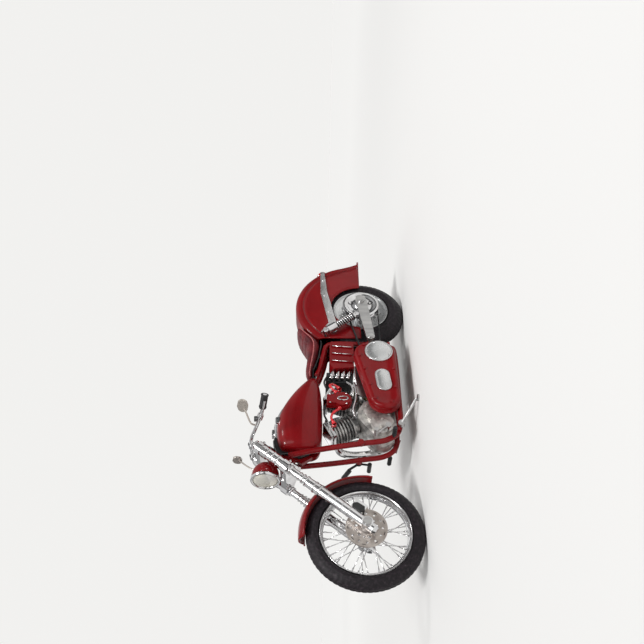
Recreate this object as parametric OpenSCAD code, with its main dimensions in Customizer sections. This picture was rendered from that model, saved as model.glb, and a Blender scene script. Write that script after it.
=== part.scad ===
/* [Wheels] */
// Distance between the front and rear axles
wheelbase = 185; // [183:0.5:187]
// Radius of the front tyre
front_r = 34.5; // [34.3:0.1:34.7]
// Radius of the rear tyre
rear_r = 32.5; // [32.3:0.1:32.6]
// Number of spokes in the front wheel
front_spoke_count = 40; // [24:8:40]

/* [Fork] */
// Rake of the fork from the vertical, in degrees
rake = 39; // [38.5:0.1:39.5]
// How far the steering stem sits behind the fork legs
stem_offset = 6; // [5.8:0.1:6.2]
// Half the distance between the two fork legs
leg_y = 12; // [12:0.1:12.5]

/* [Clockwork] */
// Size of one gear tooth: pitch diameter divided by the number of teeth
gear_module = 0.7; // [0.68:0.01:0.7]
// Teeth on the great wheel
great_teeth = 36; // [36]
// Teeth on the pinion of the drive arbor
pinion_teeth = 12; // [12]
// Radius of the running clearance round every arbor and axle
running_gap = 0.05; // [0.03:0.01:0.08]

/* [Sheet metal] */
// Thickness of the pressed tin
tin = 0.8; // [0.7:0.05:0.9]

/* [Hidden] */
$fn = 48;

// Everything is laid out from the front axle, x to the rear, and then centred on the bike's box.
tail_x = 240;
mid_x = (tail_x - front_r) / 2;
near = 0.1;

// Rear fender
fender_x = wheelbase + 2;
fender_z = 33;
fender_r = 48;
fender_half = 9.3;

// Engine
crank = [86, 24];
vee = 26;

// Clockwork: the drive arbor and the winding arbor
drive = [126, 25];
arbor_gap = gear_module * (great_teeth + pinion_teeth) / 2 + 0.05;
winding = [drive.x - arbor_gap, drive.y - 0.5];
arbor_r = 1.5;
journal_r = 1;
plate_y = 7.9;
gear_y = -5.8;
belt_y = -11.6;
belt_w = 2;
drive_pulley_r = 4.8;
rear_pulley_r = 12;
belt_t = 0.8;

// Axle and swing arm
axle_r = 1.5;
pivot = [147.5, 27];
arm_y = 13.3;
arm_t = 2.4;

function lerp(a, b, t) = a + (b - a) * t;
function unit(v) = v / norm(v);

// Smooth curve through a list of points, with n steps between each pair
function smooth(p, n) = let (last = len(p) - 1) [
    for (i = [0 : last - 1], k = [0 : n - 1]) let (
        a = p[max(i - 1, 0)], b = p[i], c = p[i + 1], d = p[min(i + 2, last)], t = k / n)
    0.5 * (2 * b + (c - a) * t + (2 * a - 5 * b + 4 * c - d) * t * t
        + (3 * b - a - 3 * c + d) * t * t * t),
    p[last]];

// Centre the bike's box over the origin
module bike() translate([-mid_x, 0, 0]) children();

// The fork's own space: z runs up the fork legs from the front axle, x to the rear
module fork_space() bike() translate([0, 0, front_r]) rotate([0, rake, 0]) children();

module both_sides() {
    children();
    mirror([0, 1, 0]) children();
}

// Round bar between two points
module rod(p, q, r) {
    v = q - p;
    translate(p) rotate([0, acos(v.z / norm(v)), atan2(v.y, v.x)]) cylinder(r = r, h = norm(v));
}

// Cylinder across the bike at x, z
module cross_cyl(x, z, y0, y1, r) translate([x, y0, z]) rotate([-90, 0, 0])
    cylinder(r = r, h = y1 - y0);

// Plate with a side outline in x, z, from y0 to y1
module side_plate(y0, y1) translate([0, y1, 0]) rotate([90, 0, 0]) linear_extrude(y1 - y0)
    children();

// Ring of points joined into a closed skin
module loft(rings) {
    m = len(rings[0]);
    n = len(rings);
    polyhedron(
        points = [for (ring = rings, p = ring) p],
        faces = concat(
            [[for (k = [0 : m - 1]) k]],
            [for (i = [0 : n - 2], k = [0 : m - 1]) let (j = (k + 1) % m)
                [i * m + k, (i + 1) * m + k, (i + 1) * m + j, i * m + j]],
            [[for (k = [m - 1 : -1 : 0]) (n - 1) * m + k]]));
}

// Bent round tube along a path; across is any direction not along the path
module bent_tube(path, r, across = [0, 1, 0], sides = 12) {
    last = len(path) - 1;
    loft([for (i = [0 : last]) let (
        t = unit(path[min(i + 1, last)] - path[max(i - 1, 0)]),
        u = unit(across - t * (across * t)),
        w = cross(t, u))
        [for (k = [0 : sides - 1]) path[i] + r * (u * cos(360 * k / sides) + w * sin(360 * k / sides))]]);
}

// Close-wound coil spring from z 0 to height, as a stack of its turns
module coil(r, wire, height, turns) for (k = [0 : turns - 1])
    translate([0, 0, wire + k * (height - 2 * wire) / (turns - 1)]) rotate_extrude()
        translate([r, 0]) circle(r = wire);

// ---------- Frame ----------

head_r = 4.2;
head_bore = 2.55;
backbone_path = [[55.6, 0, 86.1], [64, 0, 84], [76, 0, 80], [92, 0, 74.5], [106, 0, 68], [118, 0, 63],
    [132, 0, 59.5], [144.6, 0, 58.3]];

module frame_backbone() color("darkred") {
    difference() {
        union() {
            fork_space() translate([stem_offset, 0, 64]) cylinder(r = head_r, h = 14);
            bike() side_plate(-1.5, 1.5)
                polygon([[50, 92.5], [56, 89.5], [60, 82.5], [55.5, 70], [52.5, 66], [44.5, 76], [44.5, 86]]);
        }
        fork_space() translate([stem_offset, 0, 60]) cylinder(r = head_bore, h = 24);
        fork_space() translate([stem_offset, 0, 50]) cylinder(r = 7, h = 13.97);
        fork_space() translate([stem_offset, 0, 78.1]) cylinder(r = 18, h = 9);
    }
    bike() bent_tube(smooth(backbone_path, 3), 2.2);
    bike() cross_cyl(146.6, 58.3, -5, 5, 2);
}

cradle_path = [[50, -6.4, 80.5], [51.5, -7.6, 72], [54, -8.6, 58], [56.3, -9, 45], [58.6, -9, 32],
    [61, -9, 20], [67, -9, 12.4], [77, -9.7, 10.2], [90, -10.8, 10.2], [133, -10.8, 10.4], [142.5, -9.4, 13.2],
    [147.5, -7, 22], [147.5, -7, 36], [147.5, -7, 51], [144.5, -7.2, 57.6], [135, -7, 60],
    [125, -5.6, 62.2], [119, -4.3, 64.2]];

module cradle_left() {
    bike() bent_tube(smooth(cradle_path, 3), 1.8);
    // Swing arm pivot boss, kickstand bracket and engine lugs
    bike() cross_cyl(pivot.x, pivot.y, -9.2, -7, 2.4);
    bike() side_plate(-12.6, -10.6) polygon([[66, 11], [76, 7.6], [75, 12], [68, 14]]);
    bike() cross_cyl(57.9, 36, -12, -9, 1.5);
}
module frame_cradle_left() color("darkred") difference() {
    cradle_left();
    bike() cross_cyl(kick_pivot.x, kick_pivot.y, -20, -10.9, 1 + running_gap);
}
module frame_cradle_right() color("darkred") mirror([0, 1, 0]) cradle_left();

// ---------- Engine ----------

case_half = 11;

// Side outline of the crankcase, with the gear case nose in front
module crankcase_outline() {
    translate([84, 24.5]) circle(r = 11.2);
    translate([73, 22]) circle(r = 9.2);
    polygon([[73, 12.8], [84, 13.3], [92, 33], [84, 37.5], [78, 37], [66, 28]]);
}

module crankcase_half() {
    bike() side_plate(-case_half + 2, -near / 2) crankcase_outline();
    bike() side_plate(-case_half, -case_half + 2) {
        translate([84, 24.5]) circle(r = 9.4);
        translate([73, 22]) circle(r = 7.6);
    }
    // Case bolts and the timing plug
    bike() for (a = [20 : 45 : 335])
        cross_cyl(84 + 7.8 * cos(a), 24.5 + 7.8 * sin(a), -case_half - 0.6, -case_half + 1, 0.8);
    bike() cross_cyl(72, 21, -case_half - 1.4, -case_half + 1, 3);
    bike() cross_cyl(67.6, 25.6, -case_half - 0.8, -case_half + 1, 1.2);
}
module crankcase_left() color("silver") crankcase_half();
module crankcase_right() color("silver") mirror([0, 1, 0]) crankcase_half();

// Space along one cylinder: z runs up from the crank, lean is + to the rear
module on_cylinder(lean) bike() translate([crank.x, 0, crank.y]) rotate([0, lean, 0]) children();

module cylinders() color("gray") for (lean = [-vee, vee]) on_cylinder(lean) {
    translate([0, 0, 15.4]) cylinder(r = 5.6, h = 18);
    for (k = [0 : 6]) translate([0, 0, 19.2 + 2.1 * k]) cylinder(r = 8 + 0.1 * k, h = 0.9);
}

module rocker_boxes() color("silver") for (lean = [-vee, vee]) on_cylinder(lean) {
    translate([-7, -8, 33.4]) cube([14, 16, 1.6]);
    translate([-6, -7, 35]) cube([12, 14, 1.8]);
    for (y = [-5, 5]) translate([0, y, 35.6]) rotate([0, 90, 0]) cylinder(r = 1.3, h = 12.6, center = true);
    translate([0, -8.8, 34.2]) rotate([-90, 0, 0]) cylinder(r = 1.3, h = 1.6);
}

// Two pushrod tubes to each head, on the right
module pushrod_tubes() color("silver") bike() {
    for (x = [0, 1]) {
        rod([80 - 3 * x, 13, 33], [73.6 - 4 * x, 9.2, 54 - 1.8 * x], 0.9);
        rod([92 + 2.4 * x, 13, 29], [98 + 4 * x, 9.2, 54 - 1.8 * x], 0.9);
    }
    side_plate(12.5, 13.5) polygon([[72, 27], [94, 24], [97, 30], [84, 35], [75, 35.5]]);
}

// Red plug leads from the coil to the plug boots
lead_front = [[83.6, -12.4, 49], [81.6, -13.4, 50], [79, -13.4, 53], [76, -12, 54.5], [72, -10.6, 52.4]];
lead_rear = [[96.5, -12.4, 51], [99, -13.6, 54], [102, -13.4, 55.5], [104, -12, 53], [101.6, -10.6, 49]];
module plug_leads() color("red") bike() for (lead = [lead_front, lead_rear]) {
    bent_tube(smooth(lead, 4), 0.8, [0.3, 1, 0.2], 10);
    last = lead[len(lead) - 1];
    cross_cyl(last.x, last.z, -11.6, -8.9, 1.3);
}

module coil_outline(d = 0) {
    translate([91, 47.4]) circle(r = 6.4 - d);
    translate([86.4 + d, 50]) square([9.2 - 2 * d, 7.4 - d]);
}
module coil_cover() color("darkred") bike() {
    side_plate(-12, -8.9) coil_outline();
    side_plate(-13.4, -12) coil_outline(1);
    translate([91, -13.4, 45.4]) rotate([90, 0, 0]) cylinder(r = 0.9, h = 0.8);
}

module air_cleaner() color("silver") bike() {
    translate([88, 18.6, 48]) rotate([90, 0, 0]) cylinder(r1 = 7.4, r2 = 8.2, h = 0.8);
    cross_cyl(88, 48, 12.4, 17.8, 8.2);
    cross_cyl(88, 48, 18.6, 19.2, 2.4);
    // Carburettor body and its float bowl
    cross_cyl(88, 48, 8.8, 12.4, 3.4);
    translate([88, 10.6, 41.4]) cylinder(r = 2.4, h = 5);
}

exhaust_front = [[67.4, 9, 49.5], [65.8, 12, 47.5], [65.6, 14.4, 40], [67.6, 15.6, 28], [74, 16.6, 17.5],
    [88, 17, 13.8], [104, 17, 13.4], [120, 17, 13.4]];
exhaust_rear = [[104.6, 9, 48.6], [105, 12, 46.6], [101.6, 14.6, 40], [95, 16.2, 32], [92, 17, 22],
    [97, 17, 15.6], [104, 17, 13.8]];
module exhaust_pipes() color("silver") bike() {
    bent_tube(smooth(exhaust_front, 4), 2.5, [0.3, 1, 0]);
    bent_tube(smooth(exhaust_rear, 4), 2.4, [0.3, 1, 0]);
}

module muffler() color("silver") bike() {
    translate([120.1, 17, 13.4]) rotate([0, 90, 0]) {
        cylinder(r1 = 2.6, r2 = 4, h = 8);
        translate([0, 0, 8]) cylinder(r = 4, h = 70);
        translate([0, 0, 78]) cylinder(r1 = 4, r2 = 3.2, h = 6);
        translate([0, 0, 24]) cylinder(r = 4.3, h = 2);
    }
    side_plate(11.4, 12.6) polygon([[143.4, 15], [150, 15], [149, 23], [145, 23]]);
    side_plate(11.4, 14.6) polygon([[143.4, 12.4], [150, 12.4], [150, 15.4], [143.4, 15.4]]);
    cross_cyl(147, 20.4, 8.9, 11.5, 1);
}

module oil_tank() color("darkred") bike() {
    difference() {
        side_plate(-12, 12) polygon([[120.4, 39], [143.4, 39], [144.8, 54.6], [142, 55.6], [123.6, 55.6],
            [119, 53]]);
        side_plate(-12 + tin, 12 - tin) polygon([[121.2, 39.8], [142.6, 39.8], [143.8, 54], [141.8, 54.8],
            [124, 54.8], [120, 52.6]]);
    }
    for (x = [124, 131, 138]) side_plate(-12.9, -12) polygon([[x, 40], [x + 1.1, 40], [x + 2.4, 54.4],
        [x + 1.3, 54.4]]);
    for (x = [124, 131, 138]) side_plate(12, 12.9) polygon([[x, 40], [x + 1.1, 40], [x + 2.4, 54.4],
        [x + 1.3, 54.4]]);
    // Oil line fittings on the front
    for (z = [42.6, 46.4, 50.2]) translate([114.4, -8.6, z]) rotate([0, 90, 0]) cylinder(r = 1.1, h = 6.4);
}

// ---------- Clockwork ----------

module gear(teeth, height, bore) {
    pitch = gear_module * teeth / 2;
    root = pitch - 1.2 * gear_module;
    tip = pitch + 0.85 * gear_module;
    step = 360 / teeth;
    difference() {
        linear_extrude(height) polygon([for (k = [0 : teeth - 1], c = [[root, -0.36], [pitch, -0.215],
            [tip, -0.1], [tip, 0.1], [pitch, 0.215], [root, 0.36]])
            c.x * [cos(step * (k + c.y)), sin(step * (k + c.y))]]);
        translate([0, 0, -1]) cylinder(r = bore, h = height + 2);
    }
}

module plate_outline() polygon([[96, 14], [99, 10.6], [136, 10.6], [138, 14], [138, 34], [135, 37.4],
    [107, 37.4], [105, 39.8], [102.4, 39.8], [100.4, 37.4], [99, 37.4], [96.6, 34]]);

module motor_plates() color("gold") bike() for (y = [-plate_y - 1, plate_y]) difference() {
    side_plate(y, y + 1) plate_outline();
    cross_cyl(drive.x, drive.y, y - 1, y + 2, journal_r + running_gap);
    cross_cyl(winding.x, winding.y, y - 1, y + 2, arbor_r + running_gap);
    for (x = [116, 134]) cross_cyl(x, 17, y - 1, y + 2, 2);
}

module motor_pillars() color("gold") bike() for (p = [[99.4, 13.2], [103.6, 38.1], [135.4, 13.4],
    [135.4, 34.6]]) cross_cyl(p.x, p.y, -plate_y, plate_y, 1.2);

// Flat spring wound from the arbor outwards
spring_turns = 5;
module mainspring() color("steelblue") bike() {
    steps = spring_turns * 20;
    r = [for (k = [0 : steps]) 2.2 + 9.2 * k / steps];
    translate([winding.x, 6.6, winding.y]) rotate([90, 0, 0]) linear_extrude(6.4) polygon(concat(
        [for (k = [0 : steps]) r[k] * [cos(18 * k), sin(18 * k)]],
        [for (k = [steps : -1 : 0]) (r[k] + 0.55) * [cos(18 * k), sin(18 * k)]]));
}

module great_wheel() color("gold") bike() translate([winding.x, gear_y, winding.y])
    rotate([-90, 0, 0]) difference() {
    gear(great_teeth, 1.8, arbor_r + running_gap);
    for (a = [0 : 72 : 288]) rotate(a) translate([7, 0, -1]) cylinder(r = 2, h = 4);
}

module winding_key() color("silver") bike() translate([winding.x, 0, winding.y]) rotate([-90, 0, 0]) {
    translate([0, 0, -9.4]) cylinder(r = arbor_r, h = 28);
    translate([0, 0, -3.4]) gear(12, 1.2, 0.5);
    difference() {
        translate([0, 0, 9.4]) cylinder(r = 2.5, h = 13);
        translate([0, 0, 9.3]) cylinder(r = 1.5, h = 0.6);
    }
    // Two-lobed bow
    rotate([90, 0, 0]) translate([0, 0, -0.8]) linear_extrude(1.6) difference() {
        union() {
            translate([-5.4, 25.4]) circle(r = 4.4);
            translate([5.4, 25.4]) circle(r = 4.4);
            translate([-5.4, 21.6]) square([10.8, 5.4]);
        }
        translate([-5.4, 25.4]) circle(r = 2);
        translate([5.4, 25.4]) circle(r = 2);
    }
}

module drive_arbor() color("gold") bike() translate([drive.x, 0, drive.y]) rotate([-90, 0, 0]) {
    translate([0, 0, -12.4]) cylinder(r = journal_r, h = 21.8);
    translate([0, 0, -7.6]) cylinder(r = arbor_r, h = 15.2);
    rotate(phase) translate([0, 0, gear_y - 0.3]) gear(pinion_teeth, 2.4, 0.5);
    translate([0, 0, belt_y - 0.5]) cylinder(r = drive_pulley_r + 0.6, h = 0.4);
    translate([0, 0, belt_y - 0.1]) cylinder(r = drive_pulley_r - near, h = belt_w + 0.2);
    translate([0, 0, belt_y + belt_w + 0.1]) cylinder(r = drive_pulley_r + 0.6, h = 0.4);
}
// Turns the pinion so that a gap between its teeth meets a tooth of the great wheel
line = atan2(winding.y - drive.y, drive.x - winding.x);
phase = 180 + line * (1 + great_teeth / pinion_teeth) - 180 / pinion_teeth;

// Belt stretched round both pulleys
module belt_outline(extra) hull() {
    translate(drive) circle(r = drive_pulley_r + extra);
    translate([wheelbase, rear_r]) circle(r = rear_pulley_r + extra);
}
module drive_belt() color("dimgray") bike() side_plate(belt_y, belt_y + belt_w) difference() {
    belt_outline(belt_t);
    belt_outline(0.05);
}

// ---------- Primary cover on the left ----------

cover_y0 = -20;
cover_y1 = -13;
derby = [128, 22.6];
inspection = [102, 20.8];

// Side outline of the cover, drawn in by d
module primary_outline(d = 0) {
    front_c = [89.4, 20];
    low_c = [128, 21.4];
    top_c = [127.4, 29];
    r = 10.5 - d;
    translate(front_c) circle(r = r);
    translate(low_c) circle(r = r + 0.3);
    translate(top_c) circle(r = r);
    polygon([front_c + r * [0, -1], low_c + (r + 0.3) * [0, -1], low_c + (r + 0.3) * [1, 0],
        top_c + r * [1, 0], top_c + r * [-0.23, 0.973], front_c + r * [-0.23, 0.973]]);
}

module inspection_outline(grow = 0) {
    w = 4.4 + grow;
    translate(inspection + [-4.4, -0.5]) circle(r = w);
    translate(inspection + [4.4, 0.5]) circle(r = w);
    polygon([for (s = [-1, 1], t = [-s, s]) inspection + [4.4 * s, 0.5 * s + w * t]]);
}

cover_screw_at = [[83.6, 16.6], [86.2, 26.8], [98, 29.8], [112, 32.6], [124, 35.6], [134, 32.6], [112, 13.4],
    [96, 13.2], [135.4, 15.6]];

module primary_cover() color("darkred") bike() difference() {
    union() {
        side_plate(cover_y0 + 2.4, cover_y1) primary_outline();
        side_plate(cover_y0 + 1.4, cover_y0 + 2.4) primary_outline(0.4);
        side_plate(cover_y0 + 0.6, cover_y0 + 1.4) primary_outline(1);
        side_plate(cover_y0, cover_y0 + 0.6) primary_outline(2);
    }
    difference() {
        side_plate(cover_y0 + 1.2, cover_y1 + 1) primary_outline(2.2);
        for (p = cover_screw_at) cross_cyl(p.x, p.y, cover_y0, cover_y1 + 1, 1.5);
    }
    for (p = cover_screw_at) cross_cyl(p.x, p.y, cover_y0 - 1, cover_y0 + 4.2, 0.6);
    cross_cyl(derby.x, derby.y, cover_y0 - 1, cover_y0 + 2, 6);
}

module derby_cover() color("silver") bike() {
    cross_cyl(derby.x, derby.y, cover_y0 - 0.7, cover_y0, 8.7);
    cross_cyl(derby.x, derby.y, cover_y0 - 1.3, cover_y0 - 0.7, 8.1);
    cross_cyl(derby.x, derby.y, cover_y0, cover_y0 + 1, 5.9);
}

module inspection_cover() color("silver") bike() {
    side_plate(cover_y0 - 0.6, cover_y0) inspection_outline();
    side_plate(cover_y0 - 1, cover_y0 - 0.6) inspection_outline(-0.6);
}

module cover_screws() color("silver") bike() for (p = cover_screw_at) {
    cross_cyl(p.x, p.y, cover_y0 - 0.6, cover_y0, 1.1);
    cross_cyl(p.x, p.y, cover_y0, cover_y0 + 4, 0.6);
}

// ---------- Tank and seat ----------

// Stations along the tank: x, bottom, top, half width
tank_stations = [[54.6, 66, 81, 6], [55.4, 63.6, 84.4, 8.6], [58, 61.6, 86.6, 10.8], [63, 60.5, 88.2, 12.4],
    [70, 60.1, 89, 13.2], [78, 60, 88.4, 13.4], [86, 60.1, 86.4, 13], [94, 60.6, 83, 12],
    [102, 61.4, 78.6, 10.6], [109, 62.6, 74, 8.6], [114, 64, 70.4, 6.4], [116.6, 65.2, 68, 4.2]];
tank_gap = 2.5;
cap_at = [76, 7.4];
cap_r = 2.6;

// Half section of the tank: flat inside, round outside, z from low to high
function tank_ring(x, low, high, half, flat) = [
    for (a = [-90 : 12 : 90]) let (c = cos(a), s = sin(a))
        [x, flat + (half - flat) * pow(c, 0.62), (low + high) / 2
            + (high - low) / 2 * sign(s) * pow(abs(s), 0.8)]];

module tank_skin(inset) loft([for (s = smooth(tank_stations, 2))
    tank_ring(lerp(s[0], 86, inset / 32), s[1] + inset, s[2] - inset, s[3] - inset, tank_gap + inset)]);
module tank_half() bike() difference() {
    tank_skin(0);
    tank_skin(tin);
    // Filler neck, which the cap fills
    translate([cap_at.x, cap_at.y, 84]) cylinder(r = cap_r + 0.01, h = 8);
}
module fuel_tank_right() color("darkred") tank_half();
module fuel_tank_left() color("darkred") mirror([0, 1, 0]) tank_half();

// Console along the seam between the halves, standing on both
console_stations = [[64, 88.5, 90.3], [70, 89.1, 91.4], [77, 88.8, 91.2], [84, 87.2, 89.8], [90, 85, 87.4],
    [95, 82.8, 84.6]];
module tank_console() color("silver") bike() {
    loft([for (s = smooth(console_stations, 2)) [for (a = [0 : 20 : 180]) [s[0], 3.4 * cos(a),
        s[1] + (s[2] - s[1]) * sin(a)]]]);
    translate([71, 0, 90]) cylinder(r = 2.9, h = 2.2);
}

module fuel_cap() color("silver") bike() for (y = [-cap_at.y, cap_at.y]) translate([cap_at.x, y, 87.2]) {
    cylinder(r = cap_r, h = 2.4);
    translate([0, 0, 2.4]) cylinder(r1 = cap_r, r2 = 1.8, h = 0.6);
}

module seat_pan() color("dimgray") bike() side_plate(-8.4, 8.4)
    polygon([[120.8, 66.4], [124, 65], [134, 62.6], [146, 61], [149.4, 61.6], [149.4, 62.4], [146, 61.8],
        [134, 63.4], [124, 65.8], [121, 67.2]]);

// Stations along the seat: x, bottom, top, half width
seat_stations = [[119.6, 68, 69.4, 2], [121, 67.6, 71, 4.4], [125, 66, 72, 6.4], [131, 64.6, 71.6, 8.4],
    [138, 63.2, 71.2, 10.2], [145, 62.6, 72.2, 11.4], [149.6, 65, 74.4, 11.6], [154, 69.2, 76.6, 11],
    [159, 73.2, 78.6, 9.6], [163, 76, 79.4, 7], [165, 77.6, 79, 4]];
module seat_cushion() color("darkred") bike() loft([for (s = smooth(seat_stations, 2)) let (
    h = (s[2] - s[1]) / 2, z = (s[1] + s[2]) / 2)
    [for (a = [0 : 20 : 340]) [s[0], s[3] * sign(cos(a)) * pow(abs(cos(a)), 0.7),
        z + h * sign(sin(a)) * pow(abs(sin(a)), 0.75)]]]);

// ---------- Rear fender ----------

module fender_half_profile() polygon(concat(
    [[fender_r - 6, fender_half]],
    [for (a = [0 : 15 : 90]) [fender_r - 5 + 5 * sin(a), fender_half - 3.4 + 3.4 * cos(a)]],
    [[fender_r, 0], [fender_r - tin, 0]],
    [for (a = [90 : -15 : 0]) [fender_r - 5 + (5 - tin) * sin(a), fender_half - 3.4 + (3.4 - tin) * cos(a)]],
    [[fender_r - 6, fender_half - tin]]));

fender_front_angle = 137.6;
wheel_opening = 22.5;

module fender_side() side_plate(fender_half - tin, fender_half) difference() {
    translate([fender_x, fender_z]) intersection() {
        circle(r = fender_r - 5.4);
        polygon([[-35.4, 0], [-35.4, 40], [-30, 50], [60, 50], [60, 0]]);
    }
    translate([wheelbase, rear_r]) circle(r = wheel_opening);
}

tail_profile = [[234.2, 34], [235, 33.2], [237.4, 32.2], [239.4, 32.4], [240, 33.6], [239, 35.2],
    [236.6, 36.6], [235.6, 39], [234.6, 43], [233.4, 42.6], [234.2, 38]];

module rear_fender() color("darkred") bike() {
    translate([fender_x, 0, fender_z]) rotate([90, 0, 0]) rotate_extrude(angle = fender_front_angle) {
        fender_half_profile();
        mirror([0, 1]) fender_half_profile();
    }
    fender_side();
    mirror([0, 1, 0]) fender_side();
    side_plate(-fender_half + 1, fender_half - 1) polygon(tail_profile);
}

module fender_struts() color("silver") bike() both_sides() {
    side_plate(-10.4, -fender_half) polygon([[156, 50.6], [161, 49.6], [200, 57.6], [224, 60], [224, 63],
        [199, 62.6], [166, 56.4], [160, 60], [156, 62]]);
    for (p = [[160, 54], [178, 55.8], [196, 59.4], [214, 61]]) cross_cyl(p.x, p.y, -11.1, -10.4, 1);
}

module tail_lamp() color("red") bike() translate([224.6, 0, 57.6]) rotate([0, 58, 0]) {
    translate([0, 0, 4.4]) cylinder(r1 = 3.4, r2 = 4.4, h = 3.6);
    translate([0, 0, 8]) cylinder(r = 4, h = 1);
    translate([0, 0, 9]) cylinder(r1 = 4, r2 = 2.8, h = 1);
}

module footpegs() color("dimgray") bike() both_sides() {
    cross_cyl(62.6, 15.4, -20, -12.4, 1.2);
    cross_cyl(62.6, 15.4, -12.4, -10.6, 0.8);
    for (y = [-19.4, -17.4, -15.4, -13.4]) cross_cyl(62.6, 15.4, y, y + 0.9, 1.45);
}

// ---------- Rear suspension ----------

module rear_axle() color("silver") bike() {
    cross_cyl(wheelbase, rear_r, -17.4, 17.4, axle_r);
    for (y = [-17, 15.7]) cross_cyl(wheelbase, rear_r, y, y + 1.3, 2.6);
}

module swing_arm() color("silver") bike() both_sides() difference() {
    union() {
        side_plate(-arm_y - arm_t, -arm_y) {
            translate(pivot) circle(r = 3);
            translate([wheelbase, rear_r]) circle(r = 4.2);
            polygon([pivot + [0, 3], pivot - [0, 3], [186, 28.4], [190.4, 30], [191.4, 33.8], [190, 36.4],
                [184.6, 36.6]]);
        }
        cross_cyl(pivot.x, pivot.y, -arm_y, -9.3, 1.4);
        cross_cyl(pivot.x, pivot.y, -16.6, -arm_y - arm_t, 1.9);
    }
    cross_cyl(wheelbase, rear_r, -20, -10, axle_r);
}

shock_top = [152.6, 58.6];
shock_low = [170.6, 36.4];
shock_y = 14.5;
shock_length = norm(shock_top - shock_low);
shock_lean = atan2(shock_top.x - shock_low.x, shock_top.y - shock_low.y);
module on_shock() bike() both_sides() translate([shock_low.x, -shock_y, shock_low.y])
    rotate([0, shock_lean, 0]) children();

module shock_bodies() color("silver") {
    on_shock() {
        rotate([90, 0, 0]) cylinder(r = 2, h = 2.4, center = true);
        cylinder(r = 1.5, h = shock_length);
        translate([0, 0, 2]) cylinder(r = 2.5, h = 1.4);
        translate([0, 0, shock_length - 9]) cylinder(r = 3, h = 7.4);
        translate([0, 0, shock_length]) rotate([90, 0, 0]) cylinder(r = 2, h = 2.4, center = true);
    }
    bike() both_sides() cross_cyl(shock_top.x, shock_top.y, -17, -9.4, 1.1);
}

module shock_springs() color("silver") on_shock() translate([0, 0, 3.9])
    coil(2.3, 0.42, shock_length - 13.4, 9);

// ---------- Kickstand and pedals ----------

kick_pivot = [70.4, 10.4];
kick_foot = [82, 0.6];
module kickstand() color("silver") bike() {
    cross_cyl(kick_pivot.x, kick_pivot.y, -12.8, -11, 1);
    cross_cyl(kick_pivot.x, kick_pivot.y, -15.4, -12.8, 2.2);
    rod([kick_pivot.x, -14.4, kick_pivot.y], [kick_foot.x, -25, kick_foot.y + 0.9], 0.9);
    translate([kick_foot.x + 0.2, -25.6, 0]) cylinder(r = 2.2, h = 1.1);
    rod([76, -19.3, 6], [78.4, -22.6, 7], 0.6);
}

// Lever that starts and stops the clockwork, in front of the primary cover
shift_pivot = [67.6, 19];
module shift_lever() color("silver") bike() {
    cross_cyl(shift_pivot.x, shift_pivot.y, -15, -11.1, 1);
    cross_cyl(shift_pivot.x, shift_pivot.y, -16.6, -15, 1.9);
    rod([shift_pivot.x, -15.8, shift_pivot.y], [60.8, -15.8, 27], 0.8);
    cross_cyl(60.8, 27, -20.6, -15, 1.4);
}

brake_pivot = [57.9, 36];
module brake_pedal() color("dimgray") bike() {
    cross_cyl(brake_pivot.x, brake_pivot.y, 12.1, 13.3, 2);
    rod([brake_pivot.x, 13.1, brake_pivot.y], [52.8, 13.1, 43], 0.8);
    rod([brake_pivot.x, 13.1, brake_pivot.y], [57, 13.1, 29], 0.7);
    rod([53, 13.6, 42], [51, 20, 46], 1.5);
    cross_cyl(57, 29, 12, 20.4, 1.4);
}

// ---------- Fork ----------

module yoke_plate(z, height) translate([0, 0, z]) difference() {
    linear_extrude(height) {
        translate([stem_offset, 0]) circle(r = 4.6);
        for (y = [-leg_y, leg_y]) translate([0, y]) circle(r = 4);
        polygon([[-3, -leg_y + 3], [-3, leg_y - 3], [2.4, leg_y + 3], [8, 5], [8, -5], [2.4, -leg_y - 3]]);
    }
    for (y = [-leg_y, leg_y]) translate([0, y, -1]) cylinder(r = 2.3, h = height + 2);
}

module fork_yokes() color("silver") fork_space() {
    yoke_plate(58, 4.6);
    yoke_plate(79.4, 3.6);
    translate([stem_offset, 0, 60]) cylinder(r = head_bore - running_gap, h = 20);
    translate([stem_offset, 0, 63.4]) cylinder(r = 3.4, h = 0.5);
    translate([stem_offset, 0, 78.2]) cylinder(r = 3.4, h = 1.4);
    translate([stem_offset, 0, 83]) cylinder(r = 3, h = 2);
    // Handlebar risers and the lamp stalk
    for (y = [-6, 6]) translate([0.9, y, 83]) cylinder(r = 2, h = 4.9);
    translate([-2.4, 0, 60]) cylinder(r = 1.2, h = 3);
}

module fork_tubes() color("silver") fork_space() for (y = [-leg_y, leg_y]) {
    translate([0, y, 4]) cylinder(r = 2.3, h = 81);
    translate([0, y, 85]) cylinder(r1 = 2.3, r2 = 1.2, h = 1);
    difference() {
        translate([0, y, 62.7]) cylinder(r = 3.4, h = 16.6);
        translate([0, y, 62]) cylinder(r = 2.2, h = 18);
    }
    difference() {
        translate([0, y, 40.2]) cylinder(r = 3, h = 3);
        translate([0, y, 40]) cylinder(r = 2.2, h = 4);
    }
}

module fork_sliders() color("silver") fork_space() for (y = [-leg_y, leg_y]) difference() {
    union() {
        translate([0, y, -5]) cylinder(r = 3.1, h = 45.1);
        translate([0, y, -7]) cylinder(r1 = 2, r2 = 3.1, h = 2);
        translate([0, y, 34]) cylinder(r = 3.4, h = 2);
        translate([0, y, 0]) rotate([90, 0, 0]) cylinder(r = 3.3, h = 7, center = true);
        if (y < 0) translate([2, y - 1.4, 6]) cube([7, 4.4, 8]);
    }
    translate([0, y, 3.9]) cylinder(r = 2.3, h = 40);
    translate([0, y - 5, 0]) rotate([-90, 0, 0]) cylinder(r = axle_r, h = 10);
}

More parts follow.
